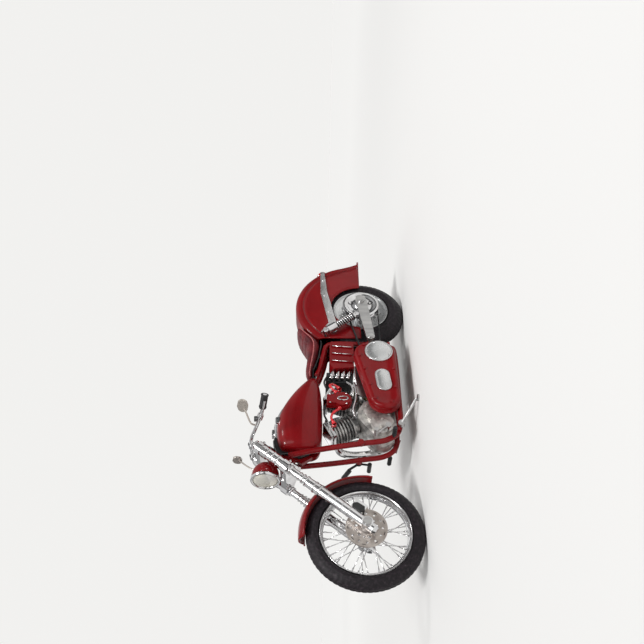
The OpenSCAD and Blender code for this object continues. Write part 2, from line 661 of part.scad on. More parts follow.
front_fender_r = 38.8;
module front_fender() color("darkred") {
    bike() translate([0, 0, front_r]) rotate([90, 0, 0]) rotate_extrude(angle = 105, start = -8)
        intersection() {
        difference() {
            translate([front_fender_r - 9, 0]) circle(r = 9);
            translate([front_fender_r - 9, 0]) circle(r = 9 - tin);
        }
        translate([front_fender_r - 3.4, -9]) square([6, 18]);
    }
    fork_space() for (y = [-8.8, 6.6]) translate([-1.4, y, 34.4]) cube([2.8, 2.2, 3]);
}

lamp = [36, 94.4];
lamp_r = 9.2;
module on_lamp() bike() translate([lamp.x, 0, lamp.y]) rotate([0, 90, 0]) children();

module headlamp_shell() color("darkred") on_lamp() difference() {
    rotate_extrude() polygon(concat([[0, 0.6]], [[lamp_r - 0.5, 0.6]],
        [for (k = [1 : 7]) [(lamp_r - 0.5) * cos(78 * k / 7), 0.6 + 10.4 * sin(90 * k / 7)]], [[0, 11]]));
    translate([0, 0, 0]) cylinder(r1 = lamp_r - 1.4, r2 = lamp_r - 3, h = 5);
}
module headlamp_rim() color("silver") on_lamp() difference() {
    rotate_extrude() translate([lamp_r - 1.1, -0.4]) circle(r = 1);
    translate([0, 0, 0.55]) cylinder(r = lamp_r + 1, h = 2);
    translate([0, 0, -3]) cylinder(r = lamp_r - 1.6, h = 6);
}
lens_r = lamp_r - 1.65;
lens_bulge = 1.6;
module headlamp_lens() color("lightyellow") on_lamp() rotate_extrude() polygon(concat(
    [[0, 0.5], [lens_r, 0.5]],
    [for (k = [0 : 8]) [lens_r * cos(90 * k / 8), -lens_bulge * sin(90 * k / 8)]]));

// Left half of the bar, from the middle outwards
bar_path = [[57.4, 0, 104.2], [57.4, -8, 104], [57.8, -14, 103.2], [59, -20, 101], [60.8, -26, 98.6],
    [62.6, -30, 97], [64.4, -34, 95.9], [68.4, -42, 94.2]];
bar_r = 1.2;
grip_at = bar_path[6];
grip_end = bar_path[7];

module handlebar() color("silver") {
    bike() {
        left = smooth(bar_path, 3);
        bent_tube(concat([for (k = [len(left) - 1 : -1 : 1]) left[k]],
            [for (p = left) [p.x, -p.y, p.z]]), bar_r, [1, 0, 0.4]);
        both_sides() {
            rod([61.4, -27.6, 98], [62.8, -30.6, 96.8], 1.9);
            translate([60.6, -28.6, 98.4]) cylinder(r = 1.7, h = 2.4);
            // Lever
            bent_tube(smooth([[60.2, -28.2, 97.6], [59.4, -32, 96.6], [61, -37, 95.2], [63.8, -41.4, 94]], 3),
                0.6, [1, 0, 0], 8);
        }
    }
    // Clamp caps on the risers
    fork_space() for (y = [-6, 6]) translate([0.9, y, 90.1]) rotate([90, 0, 0])
        cylinder(r = 2.1, h = 3, center = true);
}

module grips() color("dimgray") bike() both_sides() difference() {
    union() {
        rod(grip_at, grip_end, 2);
        rod(grip_at + 0.08 * (grip_end - grip_at), grip_at + 0.16 * (grip_end - grip_at), 2.3);
        rod(lerp(grip_at, grip_end, 0.92), lerp(grip_at, grip_end, 1), 2.3);
    }
    rod(grip_at - 0.2 * (grip_end - grip_at), lerp(grip_at, grip_end, 1.2), bar_r + 0.02);
}

mirror_l = [64.6, -36, 107.4];
mirror_r = [72, 31, 117.6];
module mirror_head(p, turn) translate(p) rotate([0, 0, turn]) rotate([0, 90, 0]) {
    translate([0, 0, -0.7]) linear_extrude(1.4) {
        circle(r = 3.3);
        for (y = [-1.7, 1.7]) translate([0, y]) circle(r = 2.9);
    }
}
module mirrors() color("silver") bike() {
    bent_tube(smooth([[59.2, -24.4, 100.2], [59.4, -26, 103], [62, -31, 105.2], [64.6, -35, 107]], 3), 0.55,
        [1, 0, 0.3], 8);
    mirror_head(mirror_l, 8);
    bent_tube(smooth([[59.2, 24.4, 100.2], [61, 25.6, 106], [66, 27.4, 112], [72, 30.4, 117]], 3), 0.55,
        [1, 0, 0.3], 8);
    mirror_head(mirror_r, -8);
}

module front_axle() color("silver") bike() {
    cross_cyl(0, front_r, -15.8, 15.8, axle_r);
    for (y = [-16.8, 15.6]) cross_cyl(0, front_r, y, y + 1.2, 2.4);
}

// ---------- Wheels ----------

module turned(x, z) bike() translate([x, 0, z]) rotate([90, 0, 0]) children();

module tyre(r, inner, section_r, section_at) rotate_extrude() intersection() {
    translate([section_at, 0]) circle(r = section_r);
    translate([inner, -section_r]) square([r - inner, 2 * section_r]);
}

front_rim_r = 26.5;
hub_half = 8.4;

module front_tyre() color("dimgray") turned(0, front_r) tyre(front_r, front_rim_r, 5, 29.9);

module front_rim() color("silver") turned(0, front_r) rotate_extrude() polygon([[24.6, -1.4], [25.4, -3.4],
    [26.5, -3.6], [26.5, 3.6], [25.4, 3.4], [24.6, 1.4]]);

flange_y = 4.9;
module front_hub() color("silver") turned(0, front_r) difference() {
    union() {
        cylinder(r = 2.8, h = 2 * hub_half, center = true);
        for (y = [-flange_y, flange_y]) translate([0, 0, y]) cylinder(r = 5.2, h = 1.6, center = true);
    }
    cylinder(r = axle_r + running_gap, h = 30, center = true);
}

// Spokes leave the flanges to both sides, those on the outer face leaning one way and the others back
module front_spokes() color("silver") turned(0, front_r) for (side = [-1, 1], k = [0 : front_spoke_count / 2 - 1]) {
    lean = k % 2 == 0 ? 1 : -1;
    a = 360 * k / (front_spoke_count / 2) + 4 * side;
    sweep = 34 * lean;
    y = side * (flange_y + 0.5 * lean);
    rod([5.35 * cos(a), 5.35 * sin(a), y], [24.7 * cos(a + sweep), 24.7 * sin(a + sweep), side * (0.9 + 0.35 * lean)],
        0.27);
}

module brake_disc() color("tan") turned(0, front_r) difference() {
    translate([0, 0, 7.1]) cylinder(r = 12, h = 0.9);
    translate([0, 0, 6]) cylinder(r = 2.8, h = 4);
    for (k = [0 : 11]) rotate(30 * k) translate([9.2, 0, 6]) cylinder(r = 0.7, h = 4);
    for (k = [0 : 5]) rotate(60 * k + 15) translate([6, 0, 6]) cylinder(r = 0.9, h = 4);
}

rear_rim_r = 20.4;
module rear_tyre() color("dimgray") turned(wheelbase, rear_r) tyre(rear_r, rear_rim_r, 7.1, 26);

module rear_rim() color("silver") turned(wheelbase, rear_r) difference() {
    union() {
        rotate_extrude() polygon([[18.6, -4], [19.4, -5.6], [rear_rim_r, -5.8], [rear_rim_r, 5.8], [19.4, 5.6],
            [18.6, 4]]);
        for (y = [-1, 1]) translate([0, 0, 4.2 * y - 0.4]) cylinder(r = 18.8, h = 0.8);
        cylinder(r = 4, h = 18, center = true);
        // Pulley with its groove on the left
        translate([0, 0, 9]) cylinder(r = 4, h = 0.5);
        translate([0, 0, 9.2]) cylinder(r = rear_pulley_r + 1.4, h = 0.4);
        translate([0, 0, 9.5]) cylinder(r = rear_pulley_r - near, h = 2.2);
        translate([0, 0, 11.6]) cylinder(r = rear_pulley_r + 1.4, h = 0.4);
        translate([0, 0, 12]) cylinder(r = 4.4, h = 0.8);
    }
    cylinder(r = axle_r + running_gap, h = 40, center = true);
    for (k = [0 : 7]) rotate(45 * k) translate([12.4, 0, -6]) cylinder(r = 2.8, h = 11.4);
    for (k = [0 : 4]) rotate(72 * k) translate([8, 0, 9]) cylinder(r = 2.2, h = 4);
}

frame_backbone();
frame_cradle_left();
frame_cradle_right();
crankcase_left();
crankcase_right();
cylinders();
rocker_boxes();
pushrod_tubes();
plug_leads();
coil_cover();
air_cleaner();
exhaust_pipes();
muffler();
oil_tank();
motor_plates();
motor_pillars();
mainspring();
primary_cover();
derby_cover();
inspection_cover();
cover_screws();
fuel_tank_left();
fuel_tank_right();
tank_console();
fuel_cap();
seat_pan();
seat_cushion();
rear_fender();
fender_struts();
tail_lamp();
footpegs();
rear_axle();
shock_bodies();
shock_springs();
swing_arm();
drive_belt();
kickstand();
shift_lever();
brake_pedal();
fork_yokes();
fork_tubes();
fork_sliders();
front_fender();
headlamp_shell();
headlamp_rim();
headlamp_lens();
handlebar();
grips();
mirrors();
front_axle();
front_tyre();
front_rim();
front_spokes();
front_hub();
brake_disc();
rear_tyre();
rear_rim();
drive_arbor();
great_wheel();
winding_key();
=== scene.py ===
"""Looks for the tin wind-up motorcycle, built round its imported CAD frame. Lengths are in millimetres,
measured from the front axle as the bike's own drawing does: x to the rear, z up from the ground."""
import math

import bpy
import bmesh
from mathutils import Matrix, Vector


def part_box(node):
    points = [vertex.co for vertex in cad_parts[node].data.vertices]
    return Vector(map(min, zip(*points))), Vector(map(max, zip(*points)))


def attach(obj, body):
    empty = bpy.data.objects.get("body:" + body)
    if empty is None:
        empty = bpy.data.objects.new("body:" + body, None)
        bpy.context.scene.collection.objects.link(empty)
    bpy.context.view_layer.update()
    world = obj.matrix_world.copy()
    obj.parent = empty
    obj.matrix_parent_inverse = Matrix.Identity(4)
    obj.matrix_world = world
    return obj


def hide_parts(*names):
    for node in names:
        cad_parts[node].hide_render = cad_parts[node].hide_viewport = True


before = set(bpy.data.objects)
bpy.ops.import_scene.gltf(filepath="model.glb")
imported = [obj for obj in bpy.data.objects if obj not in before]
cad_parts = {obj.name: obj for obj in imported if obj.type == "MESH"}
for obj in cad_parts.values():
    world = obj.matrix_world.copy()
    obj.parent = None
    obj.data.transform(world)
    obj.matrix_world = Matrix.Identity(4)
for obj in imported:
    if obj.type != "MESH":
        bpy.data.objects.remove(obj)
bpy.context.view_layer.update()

MM = 0.001


def centre_of(node):
    """The middle of a CAD node's box."""
    low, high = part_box(node)
    return (Vector(low) + Vector(high)) / 2


FRONT_AXLE = centre_of("front_tyre")
REAR_AXLE = centre_of("rear_tyre")
WHEELBASE = (REAR_AXLE.x - FRONT_AXLE.x) / MM
FRONT_R = FRONT_AXLE.z / MM
REAR_R = REAR_AXLE.z / MM
RAKE = math.radians(39)


def at(x, y, z):
    """A point in the bike's drawing, in the frame's metres."""
    return Vector((FRONT_AXLE.x + x * MM, y * MM, z * MM))


def fork_at(x, y, z):
    """A point in the fork's own space: z up along the legs from the front axle, x to the rear."""
    s, c = math.sin(RAKE), math.cos(RAKE)
    return at(x * c + z * s, y, FRONT_R - x * s + z * c)


def lerp(a, b, t):
    """The value a share t of the way from a to b."""
    return a + (b - a) * t


# ---------- Materials ----------

class Nodes:
    """A material's node tree, with short calls for what the finishes here share."""

    def __init__(self, name, colour, metallic=0.0, rough=0.4, **sockets):
        self.material = bpy.data.materials.new(name)
        self.material.use_nodes = True
        self.tree = self.material.node_tree
        self.shader = self.tree.nodes["Principled BSDF"]
        self.shader.inputs["Base Color"].default_value = (*colour, 1)
        self.shader.inputs["Metallic"].default_value = metallic
        self.shader.inputs["Roughness"].default_value = rough
        for socket, value in sockets.items():
            self.shader.inputs[socket.replace("_", " ")].default_value = value
        self.coords = self.tree.nodes.new("ShaderNodeTexCoord").outputs["Object"]
        self.normal = None

    def link(self, a, b):
        """Joins an output socket to an input socket."""
        self.tree.links.new(a, b)

    def stretched(self, stretch):
        """Object coordinates scaled along each axis."""
        mapping = self.tree.nodes.new("ShaderNodeMapping")
        mapping.inputs["Scale"].default_value = stretch
        self.link(self.coords, mapping.inputs["Vector"])
        return mapping.outputs["Vector"]

    def noise(self, scale, detail=3.0, stretch=(1, 1, 1)):
        """A noise pattern, from 0 to 1."""
        node = self.tree.nodes.new("ShaderNodeTexNoise")
        node.inputs["Scale"].default_value = scale
        node.inputs["Detail"].default_value = detail
        self.link(self.stretched(stretch), node.inputs["Vector"])
        return node.outputs["Fac"]

    def cells(self, scale):
        """A pattern of cells, by the distance from each cell's middle."""
        node = self.tree.nodes.new("ShaderNodeTexVoronoi")
        node.inputs["Scale"].default_value = scale
        self.link(self.coords, node.inputs["Vector"])
        return node.outputs["Distance"]

    def ramp(self, fac, *stops):
        """Colours by a factor; each stop is (position, colour)."""
        node = self.tree.nodes.new("ShaderNodeValToRGB")
        while len(node.color_ramp.elements) < len(stops):
            node.color_ramp.elements.new(0.5)
        for element, (position, colour) in zip(node.color_ramp.elements, stops):
            element.position = position
            element.color = (*colour, 1)
        self.link(fac, node.inputs["Fac"])
        return node.outputs["Color"]

    def colour(self, fac, *stops):
        """Varies the base colour by a pattern."""
        self.link(self.ramp(fac, *stops), self.shader.inputs["Base Color"])

    def roughness(self, fac, low, high):
        """Varies the roughness between two values by a pattern."""
        node = self.tree.nodes.new("ShaderNodeMapRange")
        node.inputs["To Min"].default_value = low
        node.inputs["To Max"].default_value = high
        self.link(fac, node.inputs["Value"])
        self.link(node.outputs["Result"], self.shader.inputs["Roughness"])

    def bump(self, height, strength, distance=0.0002):
        """Adds fine relief; a second call lies over the first."""
        node = self.tree.nodes.new("ShaderNodeBump")
        node.inputs["Strength"].default_value = strength
        node.inputs["Distance"].default_value = distance
        self.link(height, node.inputs["Height"])
        if self.normal:
            self.link(self.normal, node.inputs["Normal"])
        self.normal = node.outputs["Normal"]
        self.link(self.normal, self.shader.inputs["Normal"])


def red_lacquer():
    """Deep red lacquer over tin, under a thin clear coat."""
    n = Nodes("red_lacquer", (0.24, 0.004, 0.006), 0.0, 0.34, Coat_Weight=0.4, Coat_Roughness=0.04,
              Coat_IOR=1.4, Specular_IOR_Level=0.12)
    n.colour(n.noise(60, 4), (0.35, (0.175, 0.0026, 0.0045)), (0.7, (0.222, 0.0038, 0.0060)))
    n.roughness(n.noise(900, 2), 0.26, 0.4)
    n.bump(n.noise(260, 2), 0.04)
    return n.material


def chrome():
    """Bright plating, slightly uneven in gloss."""
    n = Nodes("bright_chrome", (0.72, 0.72, 0.73), 1.0, 0.12)
    n.colour(n.noise(90, 4), (0.35, (0.60, 0.59, 0.59)), (0.65, (0.80, 0.80, 0.81)))
    n.roughness(n.noise(420, 4), 0.06, 0.2)
    n.bump(n.noise(500, 2), 0.05)
    return n.material


def steel():
    """Bare steel with a brushed grain."""
    n = Nodes("brushed_steel", (0.5, 0.5, 0.5), 1.0, 0.3)
    n.colour(n.noise(300, 5, (1, 1, 0.12)), (0.3, (0.42, 0.42, 0.42)), (0.7, (0.64, 0.63, 0.62)))
    n.roughness(n.noise(700, 3, (1, 1, 0.1)), 0.2, 0.42)
    n.bump(n.noise(900, 2, (1, 1, 0.08)), 0.1)
    return n.material


def casting():
    """Tumbled alloy of the crankcase, with darker patches."""
    n = Nodes("tumbled_alloy", (0.62, 0.6, 0.58), 0.9, 0.42)
    n.colour(n.noise(240, 6), (0.36, (0.30, 0.29, 0.28)), (0.5, (0.62, 0.60, 0.57)),
             (0.7, (0.76, 0.74, 0.72)))
    n.roughness(n.noise(500, 4), 0.3, 0.55)
    n.bump(n.noise(1100, 4), 0.35)
    return n.material


def brass():
    """Stamped brass of the clockwork."""
    n = Nodes("stamped_brass", (0.6, 0.42, 0.16), 1.0, 0.25)
    n.colour(n.noise(200, 5), (0.35, (0.42, 0.28, 0.10)), (0.65, (0.66, 0.47, 0.19)))
    n.roughness(n.noise(600, 3), 0.18, 0.36)
    n.bump(n.noise(900, 2), 0.08)
    return n.material


def black_enamel():
    """Black enamel on the pressed parts."""
    n = Nodes("black_enamel", (0.012, 0.012, 0.014), 0.2, 0.3, Coat_Weight=0.4, Coat_Roughness=0.1)
    n.colour(n.noise(120, 4), (0.4, (0.007, 0.007, 0.008)), (0.7, (0.022, 0.022, 0.024)))
    n.roughness(n.noise(700, 3), 0.22, 0.42)
    n.bump(n.noise(800, 3), 0.1)
    return n.material


def fins():
    """Cylinder metal in random light and dark patches; the dark patches are painted shade, meant for the
    gaps between the fins.
    """
    n = Nodes("fin_metal", (0.3, 0.3, 0.3), 0.85, 0.35)
    # The darkest stop is painted shade for between the fins, laid at random by the noise
    n.colour(n.noise(260, 5), (0.36, (0.10, 0.10, 0.10)), (0.52, (0.38, 0.37, 0.36)),
             (0.72, (0.6, 0.59, 0.57)))
    n.roughness(n.noise(600, 3), 0.25, 0.5)
    n.bump(n.noise(900, 3), 0.2)
    return n.material


def tyre_rubber():
    """Tyre rubber, near black with faint paler specks."""
    n = Nodes("tyre_rubber", (0.018, 0.014, 0.017), 0.0, 0.6, Specular_IOR_Level=0.25)
    n.colour(n.noise(700, 6), (0.45, (0.010, 0.008, 0.010)), (0.66, (0.026, 0.019, 0.024)),
             (0.8, (0.075, 0.066, 0.074)))
    n.roughness(n.noise(300, 4), 0.42, 0.7)
    n.bump(n.noise(1300, 4), 0.22)
    return n.material


def black_rubber():
    """Plain black rubber of the pads, grips, hoses and belt."""
    n = Nodes("black_rubber", (0.012, 0.011, 0.012), 0.0, 0.55)
    n.colour(n.noise(300, 4), (0.4, (0.008, 0.008, 0.009)), (0.7, (0.028, 0.026, 0.028)))
    n.roughness(n.noise(500, 3), 0.42, 0.66)
    n.bump(n.noise(1500, 3), 0.25)
    return n.material


def seat_leather():
    """The saddle's dark red grained leather."""
    n = Nodes("seat_leather", (0.16, 0.012, 0.018), 0.0, 0.5, Specular_IOR_Level=0.25)
    n.colour(n.noise(140, 5), (0.32, (0.060, 0.004, 0.007)), (0.55, (0.125, 0.008, 0.012)),
             (0.78, (0.190, 0.018, 0.022)))
    n.roughness(n.noise(400, 4), 0.34, 0.56)
    n.bump(n.cells(1400), 0.45)
    n.bump(n.noise(500, 5), 0.2)
    return n.material


def thread():
    """The saddle's paler red piping."""
    n = Nodes("seat_thread", (0.34, 0.08, 0.08), 0.0, 0.6)
    n.colour(n.noise(1500, 2), (0.4, (0.28, 0.05, 0.06)), (0.6, (0.46, 0.14, 0.13)))
    n.bump(n.noise(3000, 2, (1, 1, 0.2)), 0.4)
    return n.material


def bright_red():
    """Glossy bright red of the plug leads and boots."""
    n = Nodes("bright_red_cap", (0.62, 0.006, 0.014), 0.0, 0.3, Coat_Weight=0.6)
    n.colour(n.noise(300, 3), (0.4, (0.54, 0.005, 0.012)), (0.6, (0.72, 0.010, 0.020)))
    n.roughness(n.noise(600, 3), 0.24, 0.4)
    n.bump(n.noise(900, 2), 0.08)
    return n.material


def lamp_red():
    """Red glass of the tail lamp."""
    n = Nodes("red_lamp_glass", (0.5, 0.006, 0.008), 0.0, 0.08, Coat_Weight=1.0, Transmission_Weight=0.35)
    n.colour(n.noise(200, 2), (0.4, (0.42, 0.004, 0.006)), (0.6, (0.6, 0.010, 0.012)))
    n.bump(n.cells(600), 0.25)
    return n.material


def disc_metal():
    """Warm beige metal of the brake disc."""
    n = Nodes("warm_disc", (0.46, 0.41, 0.37), 0.75, 0.36)
    n.colour(n.noise(260, 5), (0.35, (0.38, 0.33, 0.30)), (0.65, (0.54, 0.49, 0.45)))
    n.roughness(n.noise(800, 3), 0.28, 0.45)
    n.bump(n.noise(1200, 2), 0.15)
    return n.material


def lens_glass():
    """Pale fluted glass of the headlamp."""
    n = Nodes("lamp_lens", (0.70, 0.68, 0.60), 0.0, 0.12, Coat_Weight=1.0, Coat_Roughness=0.03)
    n.colour(n.noise(45, 2), (0.4, (0.56, 0.55, 0.52)), (0.6, (0.76, 0.73, 0.60)))
    n.bump(n.noise(420, 1, (0.1, 1, 0.1)), 0.35, 0.0004)
    return n.material


def cover_steel():
    """The pale satin discs on the primary cover."""
    n = Nodes("satin_plate", (0.62, 0.63, 0.63), 0.85, 0.3)
    n.colour(n.noise(50, 4), (0.4, (0.56, 0.57, 0.57)), (0.6, (0.70, 0.71, 0.71)))
    n.roughness(n.noise(700, 4), 0.22, 0.36)
    n.bump(n.noise(900, 2), 0.06)
    return n.material


def mirror_painted_reflection():
    """Mirrors in a pale warm grey, a painted reflection of pale surroundings."""
    n = Nodes("mirror_painted_reflection", (0.50, 0.45, 0.41), 0.45, 0.25)
    n.colour(n.noise(70, 2), (0.4, (0.42, 0.38, 0.35)), (0.6, (0.56, 0.51, 0.46)))
    n.roughness(n.noise(500, 2), 0.18, 0.3)
    return n.material


FINISH = {"red": red_lacquer(), "chrome": chrome(), "steel": steel(), "alloy": casting(), "brass": brass(),
          "black": black_enamel(), "fins": fins(), "tyre": tyre_rubber(), "rubber": black_rubber(),
          "leather": seat_leather(), "thread": thread(), "cap_red": bright_red(), "lamp_red": lamp_red(),
          "disc": disc_metal(), "lens": lens_glass(), "satin": cover_steel(), "mirror": mirror_painted_reflection()}

# The CAD nodes that stay in view, by finish
CAD_FINISH = {
    "red": ["frame_backbone", "coil_cover", "oil_tank", "cover_screws"],
    "chrome": ["rocker_boxes", "pushrod_tubes", "air_cleaner", "exhaust_pipes", "muffler", "tank_console",
               "fuel_cap", "shock_bodies", "fork_yokes", "fork_tubes", "fork_sliders", "handlebar",
               "fender_struts", "front_rim", "front_hub", "front_spokes"],
    "alloy": ["crankcase_left", "crankcase_right"],
    "steel": ["motor_plates", "swing_arm", "mainspring", "rear_axle", "front_axle", "kickstand",
              "shift_lever", "winding_key"],
    "brass": ["motor_pillars", "great_wheel", "drive_arbor"],
    "black": ["seat_pan"],
    "fins": ["cylinders"],
    "rubber": ["footpegs", "brake_pedal", "grips", "drive_belt"],
    "disc": ["brake_disc"],
    "satin": ["inspection_cover", "derby_cover", "rear_rim"],
    "lamp_red": ["tail_lamp"],
    "mirror": ["mirrors"],
}
for look, names in CAD_FINISH.items():
    for name in names:
        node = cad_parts[name]
        node.data.materials.clear()
        node.data.materials.append(FINISH[look])


# ---------- Making pieces ----------

def piece(name, body, finish, bm=None, stands_for=(), smooth=True):
    """Turns a bmesh into a shown piece on a body, which may stand for CAD nodes."""
    mesh = bpy.data.meshes.new(name)
    bmesh.ops.recalc_face_normals(bm, faces=bm.faces)
    bm.to_mesh(mesh)
    bm.free()
    for face in mesh.polygons:
        face.use_smooth = smooth
    thing = bpy.data.objects.new(name, mesh)
    bpy.context.scene.collection.objects.link(thing)
    mesh.materials.append(FINISH[finish])
    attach(thing, body)
    if stands_for:
        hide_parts(*stands_for)
    return thing


def soften(thing, width, segments=2, angle=30):
    """Rounds a piece's sharp edges and keeps its flat faces flat."""
    bevel = thing.modifiers.new("round", "BEVEL")
    bevel.width = width * MM
    bevel.segments = segments
    bevel.limit_method = "ANGLE"
    bevel.angle_limit = math.radians(angle)
    bevel.harden_normals = True
    return thing


def skin(bm, rings, closed=True, caps=True, loop=False):
    """Joins rings of points into a surface; loop joins the last ring to the first."""
    rows = [[bm.verts.new(p) for p in ring] for ring in rings]
    m = len(rows[0])
    pairs = list(zip(rows, rows[1:])) + ([(rows[-1], rows[0])] if loop else [])
    for a, b in pairs:
        for k in range(m if closed else m - 1):
            j = (k + 1) % m
            bm.faces.new((a[k], b[k], b[j], a[j]))
    if caps and not loop:
        bm.faces.new(rows[0])
        bm.faces.new(rows[-1][::-1])
    return rows


def smooth_path(points, steps):
    """Catmull-Rom curve through points of any dimension."""
    p = [tuple(q) for q in points]
    out = []
    for i in range(len(p) - 1):
        a, b, c, d = p[max(i - 1, 0)], p[i], p[i + 1], p[min(i + 2, len(p) - 1)]
        for k in range(steps):
            t = k / steps
            out.append(tuple(0.5 * (2 * y + (z - x) * t + (2 * x - 5 * y + 4 * z - w) * t * t
                                    + (3 * y - x - 3 * z + w) * t ** 3) for x, y, z, w in zip(a, b, c, d)))
    return out + [p[-1]]


def add_tube(bm, points, radius, sides=16, loop=False, taper=None):
    """A round bar along points in metres; taper gives a share of the radius at each point."""
    points = [Vector(p) for p in points]
    last = len(points) - 1
    rings = []
    up = None
    for i, p in enumerate(points):
        before = points[i - 1] if i or loop else p
        after = points[(i + 1) % len(points)] if i < last or loop else p
        along = (after - before).normalized()
        if up is None:
            up = along.orthogonal().normalized()
        up = (up - along * up.dot(along)).normalized()
        side = along.cross(up)
        r = radius * MM * (taper[i] if taper else 1)
        rings.append([p + r * (math.cos(a) * up + math.sin(a) * side)
                      for a in (2 * math.pi * k / sides for k in range(sides))])
    skin(bm, rings, loop=loop)


def add_turned(bm, profile, place, sides=96, closed=False):
    """A profile of (radius, height) turned about an axis; place maps x, y, z in mm to the frame."""
    rings = [[place(r * math.cos(a), r * math.sin(a), h) for r, h in profile]
             for a in (2 * math.pi * k / sides for k in range(sides))]
    skin(bm, rings, closed=closed, caps=False, loop=True)
    bmesh.ops.remove_doubles(bm, verts=bm.verts, dist=1e-7)


def add_plate(bm, outline, y0, y1):
    """A plate with a side outline of (x, z), from y0 to y1."""
    skin(bm, [[at(x, y0, z) for x, z in outline], [at(x, y1, z) for x, z in outline]])


def wheel_place(x, z):
    """Maps a turned shape onto an axle at x, z: its height runs to the right of the bike."""
    return lambda a, b, h: at(x + a, h, z + b)


def mirrored(half):
    """A profile of (radius, height) with its mirror image on the far side of the bike's middle."""
    return half + [(r, -h) for r, h in reversed(half)]


def arc(cx, cz, r, start, end, steps):
    """Points (x, z) along an arc, in degrees."""
    return [(cx + r * math.cos(math.radians(lerp(start, end, k / steps))),
             cz + r * math.sin(math.radians(lerp(start, end, k / steps)))) for k in range(steps + 1)]


# ---------- Wheels ----------

def tyre(name, body, x, z, r, inner, half, node, blocks):
    """A tyre with a flat tread cut by grooves, shoulder blocks and ribbed sidewalls."""
    crown = 0.36 * half
    side = [(inner + 0.2, 0.62 * half), (inner + 0.9, 0.8 * half), (inner + 1.0, 0.9 * half),
            (inner + 1.4, 0.9 * half), (inner + 1.6, 0.84 * half), (lerp(inner, r, 0.34), 0.985 * half),
            (lerp(inner, r, 0.40), half), (lerp(inner, r, 0.44), half),
            (lerp(inner, r, 0.47), 0.965 * half), (lerp(inner, r, 0.62), 0.9 * half),
            (lerp(inner, r, 0.78), 0.74 * half), (lerp(inner, r, 0.9), 0.54 * half)]
    tread = [(r - 0.12, crown), (r, crown * 0.8), (r, crown * 0.42), (r - 0.5, crown * 0.34),
             (r - 0.5, crown * 0.24), (r, crown * 0.16)]
    profile = mirrored(side + tread)
    bm = bmesh.new()
    place = wheel_place(x, z)
    sides = blocks * 4
    rings = []
    # Cuts run across the shoulders; both numbers count profile points from either edge
    shoulder, groove = 9, 15
    for k in range(sides):
        a = 2 * math.pi * k / sides
        cut = 0.2 if k % 4 == 0 else 0.0
        ring = []
        for i, (rad, h) in enumerate(profile):
            from_edge = min(i, len(profile) - 1 - i)
            inset = cut if shoulder <= from_edge < groove else 0.0
            deep = rad - inset
            ring.append(place(deep * math.cos(a), deep * math.sin(a), h * (1 - 0.04 * inset)))
        rings.append(ring)
    skin(bm, rings, caps=False, loop=True)
    piece(name, body, "tyre", bm, (node,))


FRONT_RIM_R, REAR_RIM_R = 26.5, 20.4
tyre("front_tyre_skin", "front_wheel", 0, FRONT_R, FRONT_R, FRONT_RIM_R, 5.0, "front_tyre", 64)
tyre("rear_tyre_skin", "rear_wheel", WHEELBASE, REAR_R, REAR_R, REAR_RIM_R, 7.1, "rear_tyre", 52)


def front_wheel():
    """Rolled rim with a well, laced wire spokes with nipples, and a turned hub."""
    place = wheel_place(0, FRONT_R)
    bm = bmesh.new()
    half = [(26.45, 3.6), (26.6, 3.95), (26.3, 4.1), (25.9, 3.8), (25.5, 3.3), (25.1, 2.6), (24.6, 1.7),
            (24.4, 0.8)]
    add_turned(bm, mirrored(half), place, 120, closed=True)
    piece("front_rim_skin", "front_wheel", "chrome", bm, ("front_rim",))
    bm = bmesh.new()
    pairs = 20
    for side in (-1, 1):
        for k in range(pairs):
            lean = 1 if k % 2 == 0 else -1
            a = math.radians(360 * k / pairs + 4 * side)
            b = a + math.radians(34 * lean)
            y = side * (4.9 + 0.55 * lean)
            hub = place(4.9 * math.cos(a), 4.9 * math.sin(a), y)
            rim = place(24.5 * math.cos(b), 24.5 * math.sin(b), side * (0.9 + 0.35 * lean))
            add_tube(bm, [hub, rim], 0.26, 8)
            add_tube(bm, [hub.lerp(rim, 0.9), hub.lerp(rim, 1.0)], 0.46, 8)
    piece("front_spoke_set", "front_wheel", "chrome", bm, ("front_spokes",))
    bm = bmesh.new()
    half = [(1.6, 8.4), (2.7, 8.4), (2.8, 8.2), (2.8, 7.3), (3.0, 6.6), (3.0, 5.9), (5.0, 5.75), (5.3, 5.4),
            (5.3, 4.6), (5.0, 4.2), (3.2, 4.0), (2.7, 3.0), (2.5, 1.5), (2.5, 0.2)]
    add_turned(bm, mirrored(half), place, 64, closed=True)
    piece("front_hub_skin", "front_wheel", "chrome", bm, ("front_hub",))


front_wheel()


